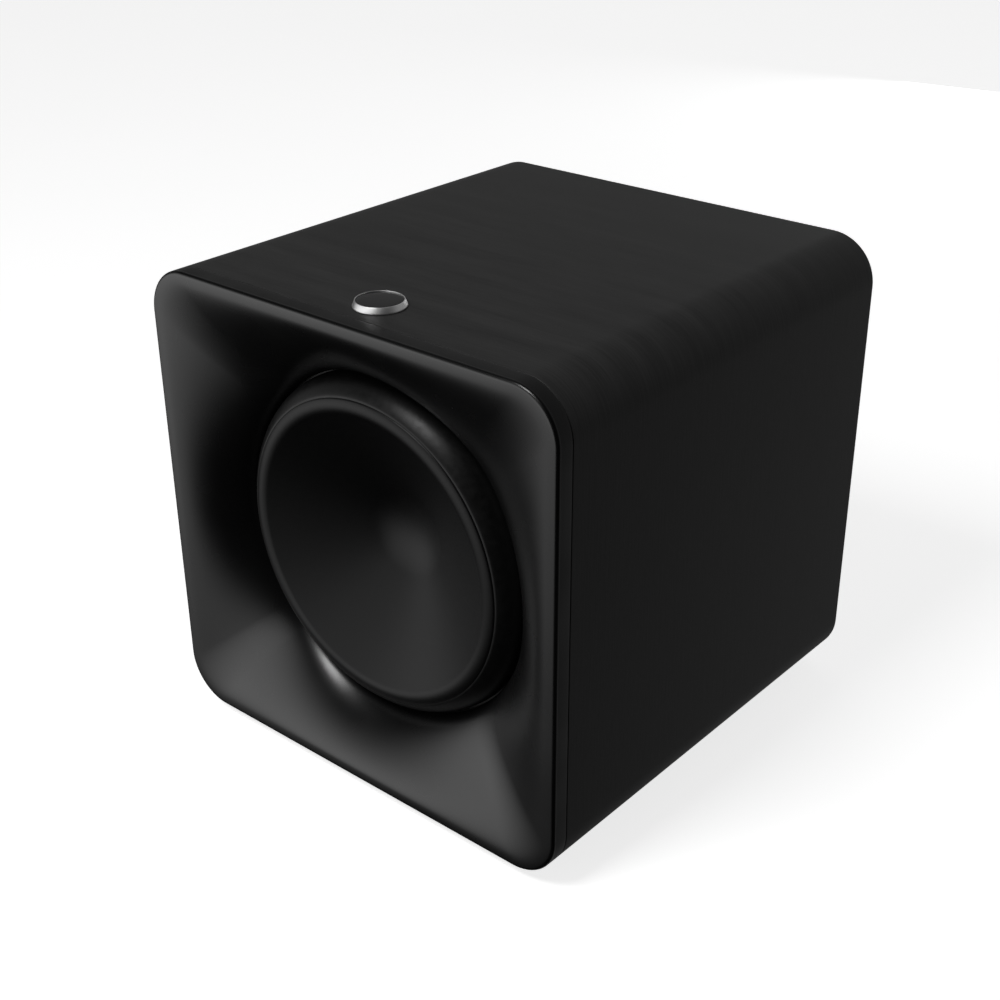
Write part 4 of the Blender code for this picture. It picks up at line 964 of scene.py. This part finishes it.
def add_keyed_box(bm, body, rim, cavity, front, back):
    """A box with a wider rim on the plate and a keyed recess sunk into it from behind."""
    seat = BODY_DEPTH + GAP
    outside = ((body, front), (body, seat), (rim, seat), (rim, back - 0.0005), (scaled(rim, 0.965), back))
    rings = [[bm.verts.new(point) for point in to_depth(outline, depth)] for outline, depth in outside]
    skin(bm, rings, capped=False)
    bm.faces.new(rings[0])
    recess = [[bm.verts.new(point) for point in to_depth(cavity, depth)] for depth in (back, INLET_FLOOR)]
    skin(bm, recess, capped=False)
    bm.faces.new(recess[1])
    polygon_between(bm, rings[-1], recess[0])


def cad_shape(node):
    """A copy of a CAD node's mesh with its triangles joined up."""
    bm = bmesh.new()
    bm.from_mesh(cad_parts[node].data)
    bmesh.ops.remove_doubles(bm, verts=bm.verts, dist=1e-6)
    return bm


def keep_faces_flat(mesh):
    """Weight the normals by area, so that broad faces stay flat beside rounded edges."""
    normals = [Vector() for vertex in mesh.vertices]
    for face in mesh.polygons:
        for index in face.vertices:
            normals[index] += face.normal * face.area
    mesh.normals_split_custom_set_from_vertices([normal.normalized() for normal in normals])


def make_rocker():
    """The CAD rocker's own shape, with every edge rounded and its faces shaded flat."""
    bm = cad_shape("power_rocker")
    bmesh.ops.dissolve_limit(bm, angle_limit=math.radians(1), verts=bm.verts, edges=bm.edges)
    bmesh.ops.bevel(bm, geom=bm.edges[:], offset=0.0004, segments=3, affect="EDGES", profile=0.5)
    piece = show("rocker_cap", bm, "gloss_plastic", "rocker", ["power_rocker"], 40)
    keep_faces_flat(piece.data)


def softened(name, node, look, offset, segments=3, body="cabinet"):
    """A CAD node's own shape with its sharp edges rounded and its broad faces shaded flat."""
    bm = cad_shape(node)
    sharp = [edge for edge in bm.edges if edge.calc_face_angle(0) > math.radians(35)]
    bmesh.ops.bevel(bm, geom=sharp, offset=offset, segments=segments, affect="EDGES", profile=0.5,
                    clamp_overlap=True)
    piece = show(name, bm, look, body, [node], 40)
    keep_faces_flat(piece.data)


def cross_screw(name, node, look, seat, way):
    """A pan-head screw with a cross recess; way is 1 where its head faces back, and -1 forwards."""
    x, z = centre_of(node)
    front, back = depth_range(node)
    tip = front if way == 1 else back
    steps = 32
    profile = [(0, tip), (SCREW_TIP, tip + way * 0.0015), (SCREW_SHANK, seat),
               (SCREW_SHANK, seat + way * 0.0003)]
    profile += [(radius, seat + way * height) for radius, height in SCREW_HEAD]
    loops = turned_loops(profile, x, z, steps)
    cross = []
    for i, turn in enumerate(circle(steps)):
        arm = CROSS_ARM if i % 8 in (0, 1, 7) else CROSS_WAIST
        cross.append((arm * math.cos(turn), arm * math.sin(turn)))
    loops.append([at(x + a, seat + way * 0.0020, z + b) for a, b in cross])
    loops.append([at(x + a * 0.7, seat + way * 0.0008, z + b * 0.7) for a, b in cross])
    loops.append([at(x, seat + way * 0.0006, z)])
    show(name, loft(loops), look, "cabinet", [node], 40)


def make_screws():
    """The amplifier plate's four black screws and the driver's six plated ones."""
    for i in "1234":
        cross_screw("plate_screw_" + i, "amp_plate_screw_" + i, "black_zinc", BODY_DEPTH, 1)
    for i in "123456":
        cross_screw("basket_screw_" + i, "driver_screw_" + i, "steel", FLANGE_DEPTH, -1)


# The finished material of each CAD node that is kept
CARRIED = {
    "ash": ["rear_panel"],
    "fibreboard": ["baffle_board", "window_brace"],
    "powder": ["basket"],
    "aluminium": ["coil_former", "heatsink"],
    "coil": ["voice_coil"],
    "steel": ["top_plate", "yoke", "wireless_module", "gain_pot", "lowpass_pot", "phase_switch_body"],
    "ferrite": ["magnet"],
    "mask": ["amp_board"],
    "sleeve": ["capacitor_1", "capacitor_2"],
    "tape": ["transformer"],
    "gloss_plastic": ["terminal_strip", "speaker_cable"],
}


def make_rear():
    """The port, the controls, the sockets, the screws and the plate's printed marks."""
    make_port()
    fluted_knob("gain", "gain_knob", "gain_control")
    fluted_knob("lowpass", "lowpass_knob", "lowpass_control")
    dial_scale("gain_scale", "gain_pot", [(0, "0"), (0.5, "5"), (1, "10")])
    dial_scale("lowpass_scale", "lowpass_pot", [(0, "40"), (0.5, "80"), (1, "120")])
    plate_marks()
    make_sockets()
    make_inlet()
    make_rocker()
    make_screws()
    softened("control_plate", "amp_plate", "powder", 0.0005)
    softened("foam_gasket", "amp_gasket", "foam", 0.0002, 2)
    softened("magnet_cover", "magnet_boot", "matt_rubber", 0.0006)
    softened("switch_frame", "power_switch_housing", "gloss_plastic", 0.0004)
    softened("phase_lever_cap", "phase_switch_lever", "gloss_plastic", 0.0002,
             body="phase_lever")
    softened("pairing_cap", "pair_button", "gloss_plastic", 0.0002, body="pairing_button")
    softened("indicator_lens", "status_led", "lens", 0.0002)


def carry_over():
    """Give the CAD nodes that stay their finished materials."""
    for look, nodes in CARRIED.items():
        for node in nodes:
            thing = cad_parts[node]
            thing.data.materials.clear()
            thing.data.materials.append(LOOKS[look])


# ---- stage, light and camera

def make_floor():
    """A plain pale floor that turns up into a backdrop far from the object."""
    reach = 6.0
    sweep = 2.0
    profile = [(0, 0), (reach - sweep, 0)]
    for step in range(1, 9):
        turn = math.pi / 2 * step / 8
        profile.append((reach - sweep + sweep * math.sin(turn), sweep * (1 - math.cos(turn))))
    profile.append((reach, 7.0))
    bm = bmesh.new()
    loops = [[Vector((0, 0, 0))]]
    for radius, height in profile[1:]:
        loops.append([Vector((radius * math.cos(turn), radius * math.sin(turn), height))
                      for turn in circle(64)])
    skin(bm, [[bm.verts.new(point) for point in loop] for loop in loops], capped=False)
    mesh = bpy.data.meshes.new("studio_floor")
    bm.to_mesh(mesh)
    bm.free()
    mesh.shade_smooth()
    look = grained("pale_floor", grey(0.80), grey(0.82), 0.8, 0.9, 3, 0.00001,
                   specular=0.1, Emission_Color=(1, 1, 1, 1), Emission_Strength=FLOOR_GLOW)
    mesh.materials.append(look)
    floor = add_object("studio_floor", mesh)
    floor.visible_glossy = False
    floor.visible_diffuse = False
    floor.visible_shadow = False


def softbox(name, direction, distance, size, power):
    """A square area light that looks at the object from a direction."""
    light = bpy.data.lights.new(name, "AREA")
    light.size = size
    light.energy = power
    holder = add_object(name, light)
    way = Vector(direction).normalized()
    holder.location = Vector((0, 0, CENTRE_Z)) + way * distance
    holder.rotation_euler = (-way).to_track_quat("-Z", "Y").to_euler()


def fade(tree, way, axis, start, end):
    """A share from 0 to 1 that grows as a direction turns towards an axis."""
    facing = add_node(tree, "VectorMath", {0: way, 1: axis}, operation="DOT_PRODUCT")
    share = add_node(tree, "MapRange", {"Value": facing.outputs["Value"], "From Min": start, "From Max": end},
                     interpolation_type="SMOOTHSTEP")
    return share.outputs["Result"]


def make_light():
    """A dim surrounding, bright near the horizon at the front left and faintly behind, and softboxes."""
    scene = bpy.context.scene
    world = bpy.data.worlds.new("studio")
    world.use_nodes = True
    tree = world.node_tree
    way = add_node(tree, "TexCoord").outputs["Generated"]
    level = fade(tree, way, *BRIGHT_EDGES[0])
    for edge in BRIGHT_EDGES[1:]:
        level = maths(tree, "MULTIPLY", level, fade(tree, way, *edge))
    bright = maths(tree, "MULTIPLY", level, BRIGHT_LEVEL)
    screen = maths(tree, "MULTIPLY", fade(tree, way, *SCREEN_EDGE), SCREEN_LEVEL)
    strength = maths(tree, "ADD", maths(tree, "ADD", bright, screen), SURROUND_LEVEL)
    tree.links.new(strength, tree.nodes["Background"].inputs["Strength"])
    tree.nodes["Background"].inputs["Color"].default_value = (1, 1, 1, 1)
    scene.world = world
    scene.view_settings.view_transform = "Standard"
    softbox("top_softbox", (-0.082, -0.606, 0.791), 1.8, 0.50, 12)
    softbox("back_softbox", (-0.15, 0.98, -0.03), 2.0, 0.8, 5)


def make_camera():
    """The camera at the viewing angle of the object's usual picture."""
    azimuth, elevation, roll = (math.radians(angle) for angle in (40.690, 27.347, -0.352))
    width = 2 * HALF_WIDTH
    back = Vector((math.sin(azimuth) * math.cos(elevation), -math.cos(azimuth) * math.cos(elevation),
                   math.sin(elevation)))
    right = Vector((0, 0, 1)).cross(back).normalized()
    up = back.cross(right)
    rolled_right = right * math.cos(roll) + up * math.sin(roll)
    rolled_up = up * math.cos(roll) - right * math.sin(roll)
    aim = Vector((-0.0525 * width, FRONT_Y + BODY_DEPTH / 2, 0.4113 * width + SHELL_LOW.z))
    lens = bpy.data.cameras.new("camera")
    lens.sensor_width = 36
    lens.lens = 55.73
    camera = add_object("camera", lens)
    axes = Matrix((rolled_right, rolled_up, back)).transposed().to_4x4()
    camera.matrix_world = Matrix.Translation(aim + back * 3.2766 * width) @ axes
    bpy.context.scene.camera = camera


make_cabinet_wrap()
make_front_moulding()
make_cone()
make_surround()
make_throat_ring()
make_spider()
make_tinsel_leads()
make_badge()
make_feet()
make_rear()
carry_over()
make_floor()
make_light()
make_camera()
